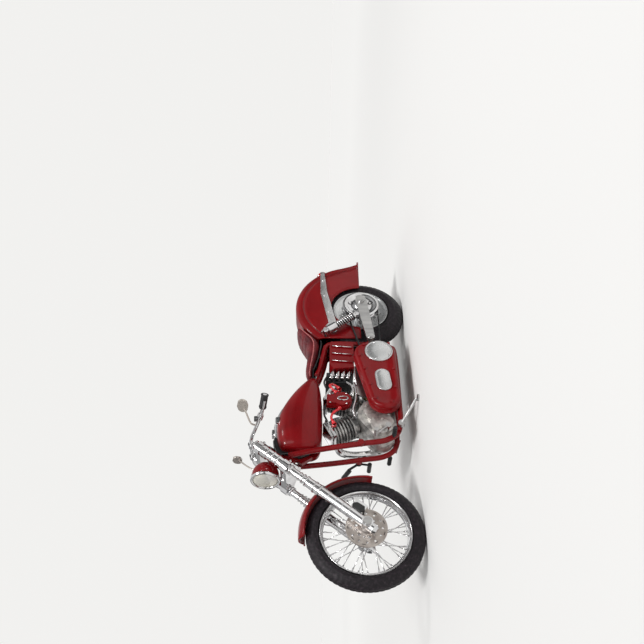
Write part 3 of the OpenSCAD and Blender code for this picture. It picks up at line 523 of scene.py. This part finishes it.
def rear_wheel():
    """Dished chrome wheel with a rolled lip, embossed scrolls and the belt pulley."""
    place = wheel_place(WHEELBASE, REAR_R)
    bm = bmesh.new()
    for side in (-1, 1):
        profile = [(REAR_RIM_R, side * 5.9), (REAR_RIM_R + 0.1, side * 6.3), (REAR_RIM_R - 0.4, side * 6.5),
                   (19.6, side * 6.1), (19.0, side * 5.2), (18.2, side * 4.9), (16.8, side * 4.9),
                   (16.2, side * 4.6), (14, side * 4.3), (6.4, side * 4.6), (5.0, side * 5.4),
                   (4.4, side * 6.4), (4.2, side * 8.6), (3.6, side * 8.9), (1.6, side * 8.9)]
        add_turned(bm, profile, place, 96)
        add_turned(bm, [(REAR_RIM_R, side * 5.9), (REAR_RIM_R, 0)], place, 96)
    piece("rear_wheel_dish", "rear_wheel", "satin", bm, ("rear_rim",))
    bm = bmesh.new()
    for k in range(10):
        a = 2 * math.pi * k / 10
        for side in (-1, 1):
            scroll = []
            for j in range(20):
                t = 2 * math.pi * j / 20
                x = 11.6 * math.cos(a) + 2.6 * math.cos(t) * math.cos(a) - 1.9 * math.sin(t) * math.sin(a)
                z = 11.6 * math.sin(a) + 2.6 * math.cos(t) * math.sin(a) + 1.9 * math.sin(t) * math.cos(a)
                scroll.append(place(x, z, side * 4.7))
            add_tube(bm, scroll, 0.36, 6, loop=True)
    piece("rear_wheel_scrolls", "rear_wheel", "chrome", bm)
    bm = bmesh.new()
    profile = [(4.2, -8.9), (4.2, -9.1), (13.2, -9.1), (13.5, -9.3), (13.3, -9.6), (12.0, -9.75),
               (11.9, -9.9), (11.9, -11.5), (12.0, -11.7), (13.3, -11.8), (13.5, -12.0), (13.2, -12.2),
               (10.6, -12.2), (10.0, -11.6), (9.4, -11.2), (5.4, -11.2), (4.8, -11.8), (4.5, -12.8),
               (3.6, -12.9), (1.7, -12.9)]
    add_turned(bm, profile, place, 96)
    piece("rear_pulley", "rear_wheel", "chrome", bm)
    # Curled cut-outs on the pulley's face, drawn as black curls: painted shade for the dark inside the
    # cut-outs
    bm = bmesh.new()
    for k in range(5):
        a = 2 * math.pi * k / 5
        curl = []
        for j in range(18):
            t = 1.7 * math.pi * j / 17
            r = 2.1 - 0.07 * j
            cx, cy = 7.5 * math.cos(a), 7.5 * math.sin(a)
            curl.append(place(cx + r * math.cos(t + a), cy + r * math.sin(t + a), -11.3))
        add_tube(bm, curl, 0.3, 6)
    piece("pulley_cutout_shade", "rear_wheel", "black", bm)


rear_wheel()


DISC_SLOT_R = 10.6
DISC_SLOT_Y = -8.0


def brake_disc_dress():
    """Button heads round the front disc's carrier, and black dashes near its edge, painted shade for the
    slots there.
    """
    place = wheel_place(0, FRONT_R)
    bm = bmesh.new()
    for k in range(6):
        a = math.radians(60 * k + 45)
        x, z = 6 * math.cos(a), 6 * math.sin(a)
        for r0, r1, y0, y1 in ((0.55, 0.5, -8.0, -8.25), (0.5, 0.3, -8.25, -8.4)):
            add_tube(bm, [place(x, z, y0), place(x, z, y1)], 1, 10, taper=[r0, r1])
    piece("disc_bolts", "front_wheel", "chrome", bm)
    # Black dashes: painted shade in the disc's slots
    bm = bmesh.new()
    for k in range(9):
        a = math.radians(40 * k + 10)
        ends = [place(DISC_SLOT_R * math.cos(a + turn), DISC_SLOT_R * math.sin(a + turn), DISC_SLOT_Y)
                for turn in (-0.09, 0.09)]
        add_tube(bm, ends, 0.22, 8)
    piece("disc_slot_shade", "front_wheel", "black", bm)


brake_disc_dress()


# ---------- Frame tubes ----------

# One cradle tube's route from the steering head round to the saddle: x, distance from the middle, z
CRADLE = [(50, 6.4, 80.5), (51.5, 7.6, 72), (54, 8.6, 58), (56.3, 9, 45), (58.6, 9, 32), (61, 9, 20),
          (67, 9, 12.4), (77, 9.7, 10.2), (90, 10.8, 10.2), (133, 10.8, 10.4), (142.5, 9.4, 13.2),
          (147.5, 7, 22), (147.5, 7, 36), (147.5, 7, 51), (144.5, 7.2, 57.6), (135, 7, 60),
          (125, 5.6, 62.2), (119, 4.3, 64.2)]


def frame_tubes():
    """Cradle tubes with their weld beads, lugs and bosses."""
    for side, name in ((-1, "left"), (1, "right")):
        bm = bmesh.new()
        add_tube(bm, [at(x, side * y, z) for x, y, z in smooth_path(CRADLE, 8)], 1.8, 24)
        for x, y, z in ((57.9, 9, 36), (147.5, 7, 27)):
            add_tube(bm, [at(x, side * (y - 0.4), z), at(x, side * (y + 2.2), z)], 2.2, 20)
        add_tube(bm, [at(50.2, side * 6.5, 79.3), at(50.4, side * 6.7, 78.2)], 2.1, 20)
        outline = [(66, 11), (76, 7.6), (75, 12), (68, 14)]
        skin(bm, [[at(x, side * y, z) for x, z in outline] for y in (10.6, 12.6)])
        soften(piece(f"cradle_skin_{name}", "chassis", "red", bm, (f"frame_cradle_{name}",)), 0.2)
    # Black panel behind the steering head: painted shade, put where the tank's front lies dark
    bm = bmesh.new()
    outline = [(52, 88), (57.6, 90), (63.2, 91.2), (67, 90), (63.5, 85), (61, 80), (56.5, 70),
               (53.4, 67.5), (50.6, 74), (53.4, 82)]
    add_plate(bm, outline, -3.4, 3.4)
    soften(piece("neck_shade_panel", "chassis", "black", bm), 0.8, 3)


frame_tubes()


# ---------- Tank, fenders and covers ----------

# Stations along the tank: x, bottom, top, half width
TANK = [(54.7, 66, 81, 6), (55.4, 63.6, 84.4, 8.6), (58, 61.6, 86.6, 10.8), (63, 60.5, 88.2, 12.4),
        (70, 60.1, 89, 13.2), (78, 60, 88.4, 13.4), (86, 60.1, 86.4, 13), (94, 60.6, 83, 12),
        (102, 61.4, 78.6, 10.6), (109, 62.6, 74, 8.6), (114, 64, 70.4, 6.4), (116.5, 65.2, 68, 4.2)]
TANK_GAP = 2.5


def tank(side, name, node):
    """One pressed half of the tank, with the seam flange low on its side."""
    rings = []
    for x, low, high, half in smooth_path(TANK, 6):
        ring = []
        for k in range(41):
            a = math.radians(lerp(-90, 90, k / 40))
            c, s = max(math.cos(a), 0), math.sin(a)
            y = TANK_GAP + (half - TANK_GAP) * c ** 0.62
            z = (low + high) / 2 + (high - low) / 2 * math.copysign(abs(s) ** 0.8, s)
            # Seam bead along the widest line, low on the side
            bead = math.exp(-((z - lerp(low, high, 0.13)) / 0.42) ** 2)
            ring.append(at(x, side * (y + 0.28 * bead * c), z))
        rings.append(ring)
    bm = bmesh.new()
    skin(bm, rings)
    soften(piece(name, "chassis", "red", bm, (node,)), 0.35, 2, 50)


tank(1, "tank_skin_right", "fuel_tank_right")
tank(-1, "tank_skin_left", "fuel_tank_left")


def front_fender():
    """Crowned fender with rolled edges, swept round the front tyre."""
    r, drop, tin, start, sweep = 38.8, 9.0, 0.7, -8.0, 105
    bm = bmesh.new()
    steps = 72
    rings = []
    for k in range(steps + 1):
        a = math.radians(start + sweep * k / steps)
        tip = min(k, steps - k) / steps
        narrow = 1 - 0.22 * math.exp(-(tip / 0.018) ** 2)
        ring = []
        for inner in (0, tin):
            span = [math.radians(lerp(-52, 52, j / 20)) for j in range(21)]
            for t in (span if not inner else span[::-1]):
                rad = r - drop + (drop - inner) * math.cos(t)
                y = (drop - inner) * math.sin(t) * narrow
                ring.append(at(rad * math.cos(a), y, FRONT_R + rad * math.sin(a)))
        rings.append(ring)
    skin(bm, rings)
    # Rolled edges
    edge_t = math.radians(51)
    rad = r - drop + (drop - tin / 2) * math.cos(edge_t)
    for side in (-1, 1):
        y = side * (drop - tin / 2) * math.sin(edge_t)
        line = []
        for k in range(steps + 1):
            a = math.radians(start + sweep * k / steps)
            line.append(at(rad * math.cos(a), y, FRONT_R + rad * math.sin(a)))
        add_tube(bm, line, 0.5, 8)
    piece("front_fender_skin", "fork", "red", bm, ("front_fender",))
    bm = bmesh.new()
    for y0, y1 in ((-9.3, -6.0), (6.0, 9.3)):
        add_tube(bm, [fork_at(0, y0, 35.8), fork_at(0, y1, 35.8)], 1.3, 12)
    piece("fender_stays", "fork", "chrome", bm)


front_fender()

FENDER_R, FENDER_HALF, FENDER_Z = 48.0, 9.3, 33.0
FENDER_X = WHEELBASE + 2
OPENING_R = 22.5
TAIL_X = 238.9


def tail_flare(a):
    """How far the fender's lip turns outward near the ground, by the angle above the axle's level."""
    return 4.2 * max(0.0, 1 - math.degrees(a) / 17) ** 2


def rear_fender():
    """Deep fender: a crowned top and full sides, open round the wheel, with a flared tail."""
    bm = bmesh.new()
    tin, front = 0.8, 151.6
    steps = 110

    def section(inner, grow):
        """The crown's cross-section as (radius, y), set in by inner and widened by grow."""
        points = [(FENDER_R - 6.0 + grow, FENDER_HALF - inner)]
        for j in range(9):
            t = math.radians(90 * j / 8)
            points.append((FENDER_R - 5 + grow + (5 - inner) * math.sin(t),
                           FENDER_HALF - 3.4 + (3.4 - inner) * math.cos(t)))
        points.append((FENDER_R - inner + grow, 2.0))
        return mirrored(points)

    rings = []
    for k in range(steps + 1):
        a = math.radians(lerp(0, 148, k / steps))
        grow = tail_flare(a)
        rings.append([at(max(FENDER_X + rad * math.cos(a), front), y, FENDER_Z + rad * math.sin(a))
                      for rad, y in section(0, grow) + section(tin, grow)[::-1]])
    skin(bm, rings)
    # Sides: along rays from the axle, from the wheel opening out to the crown or the front edge
    hub = Vector((WHEELBASE, REAR_R))
    centre = Vector((FENDER_X, FENDER_Z))
    back = hub - centre
    bead_z = FENDER_Z + 0.4
    for side in (-1, 1):
        faces = []
        for y in (FENDER_HALF, FENDER_HALF - tin):
            rows = []
            for k in range(steps + 1):
                a = math.radians(lerp(1.4, 178.6, k / steps))
                ray = Vector((math.cos(a), math.sin(a)))
                reach = FENDER_R - 5.9 + tail_flare(a)
                out = -back.dot(ray) + math.sqrt(back.dot(ray) ** 2 - back.length_squared + reach ** 2)
                if ray.x < 0:
                    out = min(out, (front - hub.x) / ray.x)
                row = [hub + ray * lerp(OPENING_R, out, j / 8) for j in range(9)]
                rows.append([at(q.x, side * y, max(q.y, FENDER_Z)) for q in row])
            faces.append(rows)
        skin(bm, [a + b[::-1] for a, b in zip(*faces)])
        # Rolled beads round the opening, along the lower edges and up the front edge
        rim = [at(x, side * (FENDER_HALF - 0.2), z) for x, z in arc(hub.x, hub.y, OPENING_R, 3, 177, 60)]
        add_tube(bm, rim, 0.55, 8)
        y = side * (FENDER_HALF - 0.4)
        for x0, x1 in ((front + 0.4, hub.x - OPENING_R), (hub.x + OPENING_R, TAIL_X - 0.3)):
            add_tube(bm, [at(x0, y, bead_z), at(x1, y, bead_z)], 0.5, 8)
        add_tube(bm, [at(front + 0.3, y, bead_z), at(front + 0.3, y, 61)], 0.5, 8)
    add_tube(bm, [at(TAIL_X, -FENDER_HALF + 0.5, 33.5), at(TAIL_X, FENDER_HALF - 0.5, 33.5)], 0.7, 10)
    piece("rear_fender_skin", "chassis", "red", bm, ("rear_fender",))


rear_fender()

COVER_Y0, COVER_Y1 = -20.0, -13.0


# The angle at which the cover's straight top edge leaves its round ends
TOP_EDGE = 103.3


def primary_outline(inset):
    """Side outline of the primary cover as arcs round its three corner centres."""
    r = 10.5 - inset
    return (arc(89.4, 20, r, TOP_EDGE, 270, 26) + arc(128, 21.4, r + 0.3, 270, 360, 14)
            + arc(127.4, 29, r, 0, TOP_EDGE, 16))


def primary_cover():
    """Pressed cover with a rounded shoulder and a raised step along its rim."""
    step, shoulder = 0.35, 2.6
    layers = [(0, COVER_Y1), (0, COVER_Y1 - 0.9), (step, COVER_Y1 - 1.0), (step, COVER_Y0 + shoulder)]
    layers += [(step + shoulder * (1 - math.cos(t)), COVER_Y0 + shoulder - shoulder * math.sin(t))
               for t in (math.radians(15 * k) for k in range(1, 7))]
    layers += [(3.6, COVER_Y0), (4.0, COVER_Y0 + 0.18), (9.0, COVER_Y0 + 0.18)]
    bm = bmesh.new()
    skin(bm, [[at(x, y, z) for x, z in primary_outline(inset)] for inset, y in layers])
    piece("primary_skin", "chassis", "red", bm, ("primary_cover",))


primary_cover()

DERBY = (128, 22.6)
INSPECTION = (102, 20.8)


def derby_cover():
    """Domed round cover with its ring of screws."""
    bm = bmesh.new()
    place = wheel_place(*DERBY)
    profile = [(9.4, -19.9), (9.5, -20.4), (9.2, -20.8), (8.7, -20.9), (8.5, -20.75), (8.1, -20.8),
               (7.4, -21.1), (4.0, -21.3), (0.01, -21.35)]
    add_turned(bm, profile, place, 72)
    piece("derby_skin", "chassis", "satin", bm, ("derby_cover",))
    bm = bmesh.new()
    for k in range(5):
        a = math.radians(72 * k + 20)
        x, z = 8.0 * math.cos(a), 8.0 * math.sin(a)
        add_tube(bm, [place(x, z, -20.7), place(x, z, -21.2)], 0.55, 10)
    piece("derby_screws", "chassis", "chrome", bm)


def inspection_outline(grow):
    """Tilted oval of the inspection cover, larger by grow all round."""
    end = 4.4
    cx, cz = INSPECTION
    return (arc(cx + end, cz + 0.5, end + grow, -84, 96, 18)
            + arc(cx - end, cz - 0.5, end + grow, 96, 276, 18))


def inspection_cover():
    """Pressed oval cover with a rounded edge."""
    layers = [(0.5, COVER_Y0 + 0.2), (0.5, COVER_Y0 - 0.35), (0.3, COVER_Y0 - 0.6), (-0.2, COVER_Y0 - 0.7),
              (-0.6, COVER_Y0 - 0.55), (-1.2, COVER_Y0 - 0.75), (-2.4, COVER_Y0 - 0.95)]
    bm = bmesh.new()
    skin(bm, [[at(x, y, z) for x, z in inspection_outline(grow)] for grow, y in layers])
    piece("inspection_skin", "chassis", "satin", bm, ("inspection_cover",))


derby_cover()
inspection_cover()


# ---------- Saddle ----------

# Stations along the saddle: x, bottom, top, half width
SADDLE = [(119.7, 68, 69.3, 2), (121, 67.6, 71, 4.4), (125, 66, 72, 6.4), (131, 64.6, 71.6, 8.4),
          (138, 63.2, 71.2, 10.2), (145, 62.6, 72.2, 11.3), (149.6, 65, 74.4, 11.5), (154, 69.2, 76.6, 10.9),
          (159, 73.2, 78.6, 9.5), (163, 76, 79.3, 7), (164.9, 77.6, 78.9, 4)]
# Where the seams cross it
SEAMS = (141.5, 146.5, 151.0, 155.2, 159.0)


def saddle():
    """Stitched solo saddle: pleats across its raised back, a centre panel and piping round the edge."""
    bm = bmesh.new()
    rings, piping = [], {-1: [], 1: []}
    for x, low, high, half in smooth_path(SADDLE, 10):
        ring = []
        pleat = sum(math.exp(-((x - seam) / 0.55) ** 2) for seam in SEAMS)
        for k in range(64):
            a = 2 * math.pi * k / 64
            c, q = math.cos(a), math.sin(a)
            y = half * math.copysign(abs(c) ** 0.7, c)
            z = (low + high) / 2 + (high - low) / 2 * math.copysign(abs(q) ** 0.75, q)
            if q > 0:
                panel = math.exp(-((abs(y) - 0.62 * half) / 0.5) ** 2)
                z -= (0.55 * pleat * (1 - (y / half) ** 6) + 0.4 * panel) * min(1, half / 6) * q
            ring.append(at(x, y, z))
        rings.append(ring)
        middle = lerp(low, high, 0.46)
        for side in (-1, 1):
            piping[side].append(at(x, side * (half - 0.12), middle))
    skin(bm, rings)
    cushion = piece("saddle", "chassis", "leather", bm, ("seat_cushion",))
    bm = bmesh.new()
    for side in (-1, 1):
        add_tube(bm, piping[side][4:-4], 0.5, 8)
    piece("saddle_piping", "chassis", "thread", bm)


saddle()


# ---------- Engine dress and running gear ----------

# Points along the front and rear cylinders' plug leads
LEADS = (((83.6, -12.4, 49), (81.6, -13.4, 50), (79, -13.4, 53), (76, -12, 54.5), (72, -10.8, 52.6)),
         ((96.5, -12.4, 51), (99, -13.6, 54), (102, -13.4, 55.5), (104, -12, 53), (101.6, -10.8, 49.2)))


def plug_leads():
    """Red leads with a boot at each end, the plug's own with ribs."""
    bm = bmesh.new()
    for path in LEADS:
        line = [Vector(at(*q)) for q in smooth_path(path, 8)]
        add_tube(bm, line, 0.8, 14)
        for end, inward in ((line[0], line[4]), (line[-1], line[-5])):
            add_tube(bm, [end, end.lerp(inward, 0.4), end.lerp(inward, 0.8), inward], 1.25, 14,
                     taper=[1, 1.04, 0.86, 0.7])
        x, y, z = path[-1]
        for k in range(4):
            rib = y + 0.55 * k
            add_tube(bm, [at(x, rib, z), at(x, rib + 0.36, z)], 1.42, 16)
        add_tube(bm, [at(x, y, z), at(x, -8.9, z)], 1.15, 16)
    piece("plug_lead_skin", "chassis", "cap_red", bm, ("plug_leads",))


plug_leads()


# The shocks' lower and upper eyes, as x and z, and their distance from the middle
SHOCK_FOOT, SHOCK_HEAD = (170.6, 36.4), (152.6, 58.6)
SHOCK_Y = 14.5


def shock_at(side, x, y, z):
    """A point in a shock's own space, with z up its length from the lower eye."""
    lean = math.atan2(SHOCK_HEAD[0] - SHOCK_FOOT[0], SHOCK_HEAD[1] - SHOCK_FOOT[1])
    return at(SHOCK_FOOT[0] + x * math.cos(lean) + z * math.sin(lean), side * SHOCK_Y + y,
              SHOCK_FOOT[1] - x * math.sin(lean) + z * math.cos(lean))


def springs():
    """Wound springs with closed ends, and the black dampers that show between the turns."""
    length = math.dist(SHOCK_FOOT, SHOCK_HEAD)
    turns, low, high = 8.5, 4.3, length - 9.6
    bm = bmesh.new()
    for side in (-1, 1):
        count = 200
        coil = []
        for k in range(count + 1):
            t = k / count
            a = 2 * math.pi * turns * t
            rise = lerp(low, high, t * t * (3 - 2 * t) * 0.25 + t * 0.75)
            coil.append(shock_at(side, 2.3 * math.cos(a), 2.3 * math.sin(a), rise))
        add_tube(bm, coil, 0.42, 10)
    piece("spring_coils", "chassis", "chrome", bm, ("shock_springs",))
    bm = bmesh.new()
    for side in (-1, 1):
        add_tube(bm, [shock_at(side, 0, 0, 3.6), shock_at(side, 0, 0, length - 9)], 1.62, 20)
    piece("damper_sleeves", "chassis", "black", bm)


springs()


def coil_dress():
    """Bright oval and four screws on the coil cover; the upright chrome oval is a painted highlight down the
    cover's middle.
    """
    bm = bmesh.new()
    # Upright chrome oval: painted highlight down the red cover's middle
    oval = [at(91 + 1.5 * math.cos(a), -13.6, 47.0 + 3.3 * math.sin(a))
            for a in (2 * math.pi * k / 40 for k in range(40))]
    add_tube(bm, oval, 0.42, 8, loop=True)
    for x, z in ((87.6, 55.2), (94.4, 55.2), (86.8, 44.6), (95.2, 44.6)):
        add_tube(bm, [at(x, -13.3, z), at(x, -13.8, z)], 0.55, 12)
    piece("coil_highlight_oval", "chassis", "chrome", bm)


coil_dress()


def oil_tank_dress():
    """Chrome strips on the oil tank's ribs, painted highlights for the light along the red ribs, and its
    line fittings.
    """
    bm = bmesh.new()
    # Chrome strips along the ribs: painted highlights
    for side in (-1, 1):
        for x in (124, 131, 138):
            add_tube(bm, [at(x + 0.6, side * 12.7, 40.6), at(x + 1.8, side * 12.7, 53.8)], 0.4, 8)
    piece("oil_tank_highlight_strips", "chassis", "chrome", bm)
    bm = bmesh.new()
    for k in range(4):
        z = 41.6 + 3.7 * k
        add_tube(bm, [at(112.2, -9.8, z + 1.6), at(119.6, -9.8, z)], 1.3, 16)
        add_tube(bm, [at(111.4, -9.8, z + 1.78), at(112.6, -9.8, z + 1.5)], 1.6, 6)
    piece("oil_fittings", "chassis", "chrome", bm)


oil_tank_dress()


def engine_shade_and_lines():
    """A ribbed black box by the rear cylinder, painted shade that fills the dark gap under the tank's rear,
    and the lines and hoses round the engine.
    """
    bm = bmesh.new()
    # Ribbed black box: painted shade for the dark gap behind the engine
    add_plate(bm, [(109.6, 40), (119.4, 40), (119, 57.6), (112, 58.2), (109.8, 54)], -7.6, 7.6)
    for k in range(5):
        z = 42 + 3.1 * k
        add_plate(bm, [(110.6, z), (118.6, z), (118.6, z + 1.3), (110.6, z + 1.3)], -8.3, 8.3)
    soften(piece("engine_shade_box", "chassis", "black", bm), 0.3)
    bm = bmesh.new()
    lines = ((((106.5, -9, 37.6), (110.5, -11.6, 38.4), (116, -11.8, 38.6), (121, -11.4, 38.2)), 0.8),
             (((78, -10.6, 39.4), (84, -11.6, 40.4), (92, -11.8, 38.6), (100, -11.4, 38.4),
               (107, -10.8, 39.6)), 0.75),
             (((97, -9.6, 42), (100.5, -11, 40.2), (105, -11, 41.4), (108.6, -9.4, 44)), 0.7))
    for path, radius in lines:
        add_tube(bm, [at(*q) for q in smooth_path(path, 8)], radius, 12)
    piece("engine_lines", "chassis", "chrome", bm)
    bm = bmesh.new()
    for path in (((75, -9.4, 57), (80, -10.2, 59), (86, -10.4, 58.4), (91, -10, 56)),
                 ((103, -10, 58), (107, -10.6, 59.2), (112, -9.4, 58), (115, -8, 56.6))):
        add_tube(bm, [at(*q) for q in smooth_path(path, 8)], 0.65, 10)
    piece("engine_hoses", "chassis", "rubber", bm)


engine_shade_and_lines()

LEG_Y = 12


def fork_dress():
    """Clamp rings, pinch bolts, slider ribs and the caliper that hangs behind the left leg."""
    # Height up the leg, radius and depth of each ring
    rings = ((33.4, 3.7, 1.0), (37.4, 3.55, 0.8), (43.6, 3.3, 0.9), (46.4, 3.0, 0.7), (49, 2.75, 0.6),
             (55.6, 3.1, 1.6), (66, 3.7, 0.9), (70, 3.7, 0.9), (74, 3.7, 0.9), (84.4, 3.0, 1.0))
    bm = bmesh.new()
    for side in (-1, 1):
        y = side * LEG_Y
        for z, r, h in rings:
            add_tube(bm, [fork_at(0, y, z), fork_at(0, y, z + h)], r, 24)
        for z in (60.2, 81.2):
            add_tube(bm, [fork_at(3.6, y - 2.2, z), fork_at(3.6, y + 2.2, z)], 0.8, 10)
        for z in (12, 17, 22, 27):
            add_tube(bm, [fork_at(0, y, z), fork_at(0, y, z + 0.5)], 3.28, 24)
    piece("fork_rings", "fork", "chrome", bm)
    bm = bmesh.new()
    outline = ((2.4, 7.6), (4.6, 5.2), (7.4, 7.2), (7.0, 12.2), (5, 14), (2.6, 12.8))
    skin(bm, [[fork_at(x, y, z) for x, z in outline] for y in (-LEG_Y - 2.2, -LEG_Y + 2.6)])
    soften(piece("caliper_skin", "fork", "black", bm), 0.4, 3)


fork_dress()


def grip_ribs():
    """Rings moulded round the rubber grips."""
    bm = bmesh.new()
    for side in (-1, 1):
        inner, outer = at(64.4, side * 34, 95.9), at(68.4, side * 42, 94.2)
        for k in range(7):
            t = 0.2 + 0.095 * k
            add_tube(bm, [inner.lerp(outer, t), inner.lerp(outer, t + 0.045)], 2.14, 20)
    piece("grip_ribs", "fork", "rubber", bm)


grip_ribs()


# ---------- Headlamp ----------

LAMP = (36, 94.4)
LAMP_R = 9.2


def lamp_place(a, b, h):
    """Maps a turned shape onto the lamp's axis: its height runs to the rear."""
    return at(LAMP[0] + h, a, LAMP[1] + b)


def headlamp():
    """Bullet bowl, rolled rim and domed lens."""
    bm = bmesh.new()
    bowl = [(LAMP_R - 0.3, 0.3), (LAMP_R - 0.2, 1.0), (LAMP_R - 0.45, 1.5)]
    for k in range(1, 13):
        across, along = math.radians(84 * k / 12), math.radians(90 * k / 12)
        bowl.append(((LAMP_R - 0.5) * math.cos(across), 1.5 + 9.9 * math.sin(along)))
    add_turned(bm, bowl + [(0.01, 11.42)], lamp_place, 72)
    piece("lamp_bowl", "fork", "red", bm, ("headlamp_shell",))
    bm = bmesh.new()
    rim = [(LAMP_R - 0.1, 0.5), (LAMP_R + 0.05, -0.1), (LAMP_R - 0.15, -0.8), (LAMP_R - 0.7, -1.3),
           (LAMP_R - 1.3, -1.1), (LAMP_R - 1.6, -0.5), (LAMP_R - 1.6, 0.4)]
    add_turned(bm, rim, lamp_place, 72, closed=True)
    piece("lamp_rim", "fork", "chrome", bm, ("headlamp_rim",))
    bm = bmesh.new()
    lens = []
    for k in range(15):
        across, along = math.radians(89 * k / 14), math.radians(90 * k / 14)
        lens.append(((LAMP_R - 1.55) * math.cos(across), -1.6 * math.sin(along)))
    add_turned(bm, lens, lamp_place, 72)
    piece("lamp_glass", "fork", "lens", bm, ("headlamp_lens",))


headlamp()


# ---------- Stage, camera and light ----------

BACKDROP = (0.885, 0.88, 0.865)


def stage():
    """A wide pale paper floor."""
    bm = bmesh.new()
    size = 6.0
    verts = [bm.verts.new((sx * size, sy * size, 0)) for sx, sy in ((-1, -1), (1, -1), (1, 1), (-1, 1))]
    bm.faces.new(verts)
    mesh = bpy.data.meshes.new("floor")
    bm.to_mesh(mesh)
    bm.free()
    floor = bpy.data.objects.new("floor", mesh)
    bpy.context.scene.collection.objects.link(floor)
    paper = Nodes("pale_floor", (0.77, 0.765, 0.75), 0.0, 0.8, Specular_IOR_Level=0.0)
    # The lamps reach only the middle, so the paper is paler far out and the horizon doesn't show
    reach = paper.tree.nodes.new("ShaderNodeVectorMath")
    reach.operation = "LENGTH"
    paper.link(paper.coords, reach.inputs[0])
    spread = paper.tree.nodes.new("ShaderNodeMapRange")
    spread.interpolation_type = "SMOOTHSTEP"
    spread.inputs["From Min"].default_value = 0.15
    spread.inputs["From Max"].default_value = 1.3
    paper.link(reach.outputs["Value"], spread.inputs["Value"])
    paper.colour(spread.outputs["Result"], (0.0, (0.785, 0.78, 0.767)), (1.0, (0.925, 0.92, 0.905)))
    mesh.materials.append(paper.material)


stage()


def camera():
    """Left front view a little above the axles, in a frame turned a quarter turn, front wheel down."""
    data = bpy.data.cameras.new("camera")
    cam = bpy.data.objects.new("camera", data)
    bpy.context.scene.collection.objects.link(cam)
    bpy.context.scene.camera = cam
    heading, pitch, roll = math.radians(38.3), math.radians(-1.0), math.radians(-0.9)
    forward = Vector((math.sin(heading) * math.cos(pitch), math.cos(heading) * math.cos(pitch),
                      math.sin(pitch)))
    right = Vector((math.cos(heading), -math.sin(heading), 0))
    up = right.cross(forward)
    level_right = math.cos(roll) * right - math.sin(roll) * up
    level_up = math.sin(roll) * right + math.cos(roll) * up
    # The quarter turn: the picture's up is the bike's rear, and its right is the ground
    picture_up, picture_right = level_right, -level_up
    cam.matrix_world = Matrix((picture_right, picture_up, -forward)).transposed().to_4x4()
    cam.location = at(-167, -313, 62)
    data.sensor_width = 36
    data.lens = 34.1
    data.shift_x = -0.0124
    data.shift_y = 0.1584
    data.clip_start = 0.01


camera()


def light(name, kind, energy, location, target, size):
    """An area light of a size in metres, or a sun whose size is the angle of its disc."""
    data = bpy.data.lights.new(name, kind)
    data.energy = energy
    if kind == "SUN":
        data.angle = math.radians(size)
    else:
        data.size = size
    lamp = bpy.data.objects.new(name, data)
    bpy.context.scene.collection.objects.link(lamp)
    lamp.location = location
    lamp.rotation_mode = "QUATERNION"
    lamp.rotation_quaternion = (Vector(target) - Vector(location)).to_track_quat("-Z", "Y")


def studio():
    """A pale backdrop to the eye, and a room that darkens to the horizon for what the plating reflects."""
    world = bpy.data.worlds.new("studio")
    bpy.context.scene.world = world
    world.use_nodes = True
    tree = world.node_tree
    room = tree.nodes["Background"]
    coords = tree.nodes.new("ShaderNodeTexCoord")
    split = tree.nodes.new("ShaderNodeSeparateXYZ")
    ramp = tree.nodes.new("ShaderNodeValToRGB")
    backdrop = tree.nodes.new("ShaderNodeBackground")
    path = tree.nodes.new("ShaderNodeLightPath")
    mix = tree.nodes.new("ShaderNodeMixShader")
    tree.links.new(coords.outputs["Generated"], split.inputs["Vector"])
    tree.links.new(split.outputs["Z"], ramp.inputs["Fac"])
    stops = ((0.0, 0.10), (0.16, 0.16), (0.34, 0.62), (0.5, 0.34), (0.74, 1.0))
    while len(ramp.color_ramp.elements) < len(stops):
        ramp.color_ramp.elements.new(0.5)
    for element, (position, value) in zip(ramp.color_ramp.elements, stops):
        element.position = position
        element.color = (value, value, value, 1)
    tree.links.new(ramp.outputs["Color"], room.inputs["Color"])
    room.inputs["Strength"].default_value = 0.7
    backdrop.inputs["Color"].default_value = (*BACKDROP, 1)
    tree.links.new(path.outputs["Is Camera Ray"], mix.inputs["Fac"])
    tree.links.new(room.outputs["Background"], mix.inputs[1])
    tree.links.new(backdrop.outputs["Background"], mix.inputs[2])
    tree.links.new(mix.outputs["Shader"], tree.nodes["World Output"].inputs["Surface"])


studio()
light("key_sun", "SUN", 1.75, (-0.5, -0.7, 1.1), (0, 0, 0.05), 14)
light("side_card", "AREA", 0.6, (-0.35, -0.6, 0.35), (0, 0, 0.06), 0.3)
light("rim_card", "AREA", 0.45, (0.3, 0.6, 0.5), (0, 0, 0.06), 0.4)
light("strip_card", "AREA", 0.35, (0.12, -0.28, 0.5), (0, 0, 0.08), 0.09)
bpy.context.scene.view_settings.view_transform = "Standard"
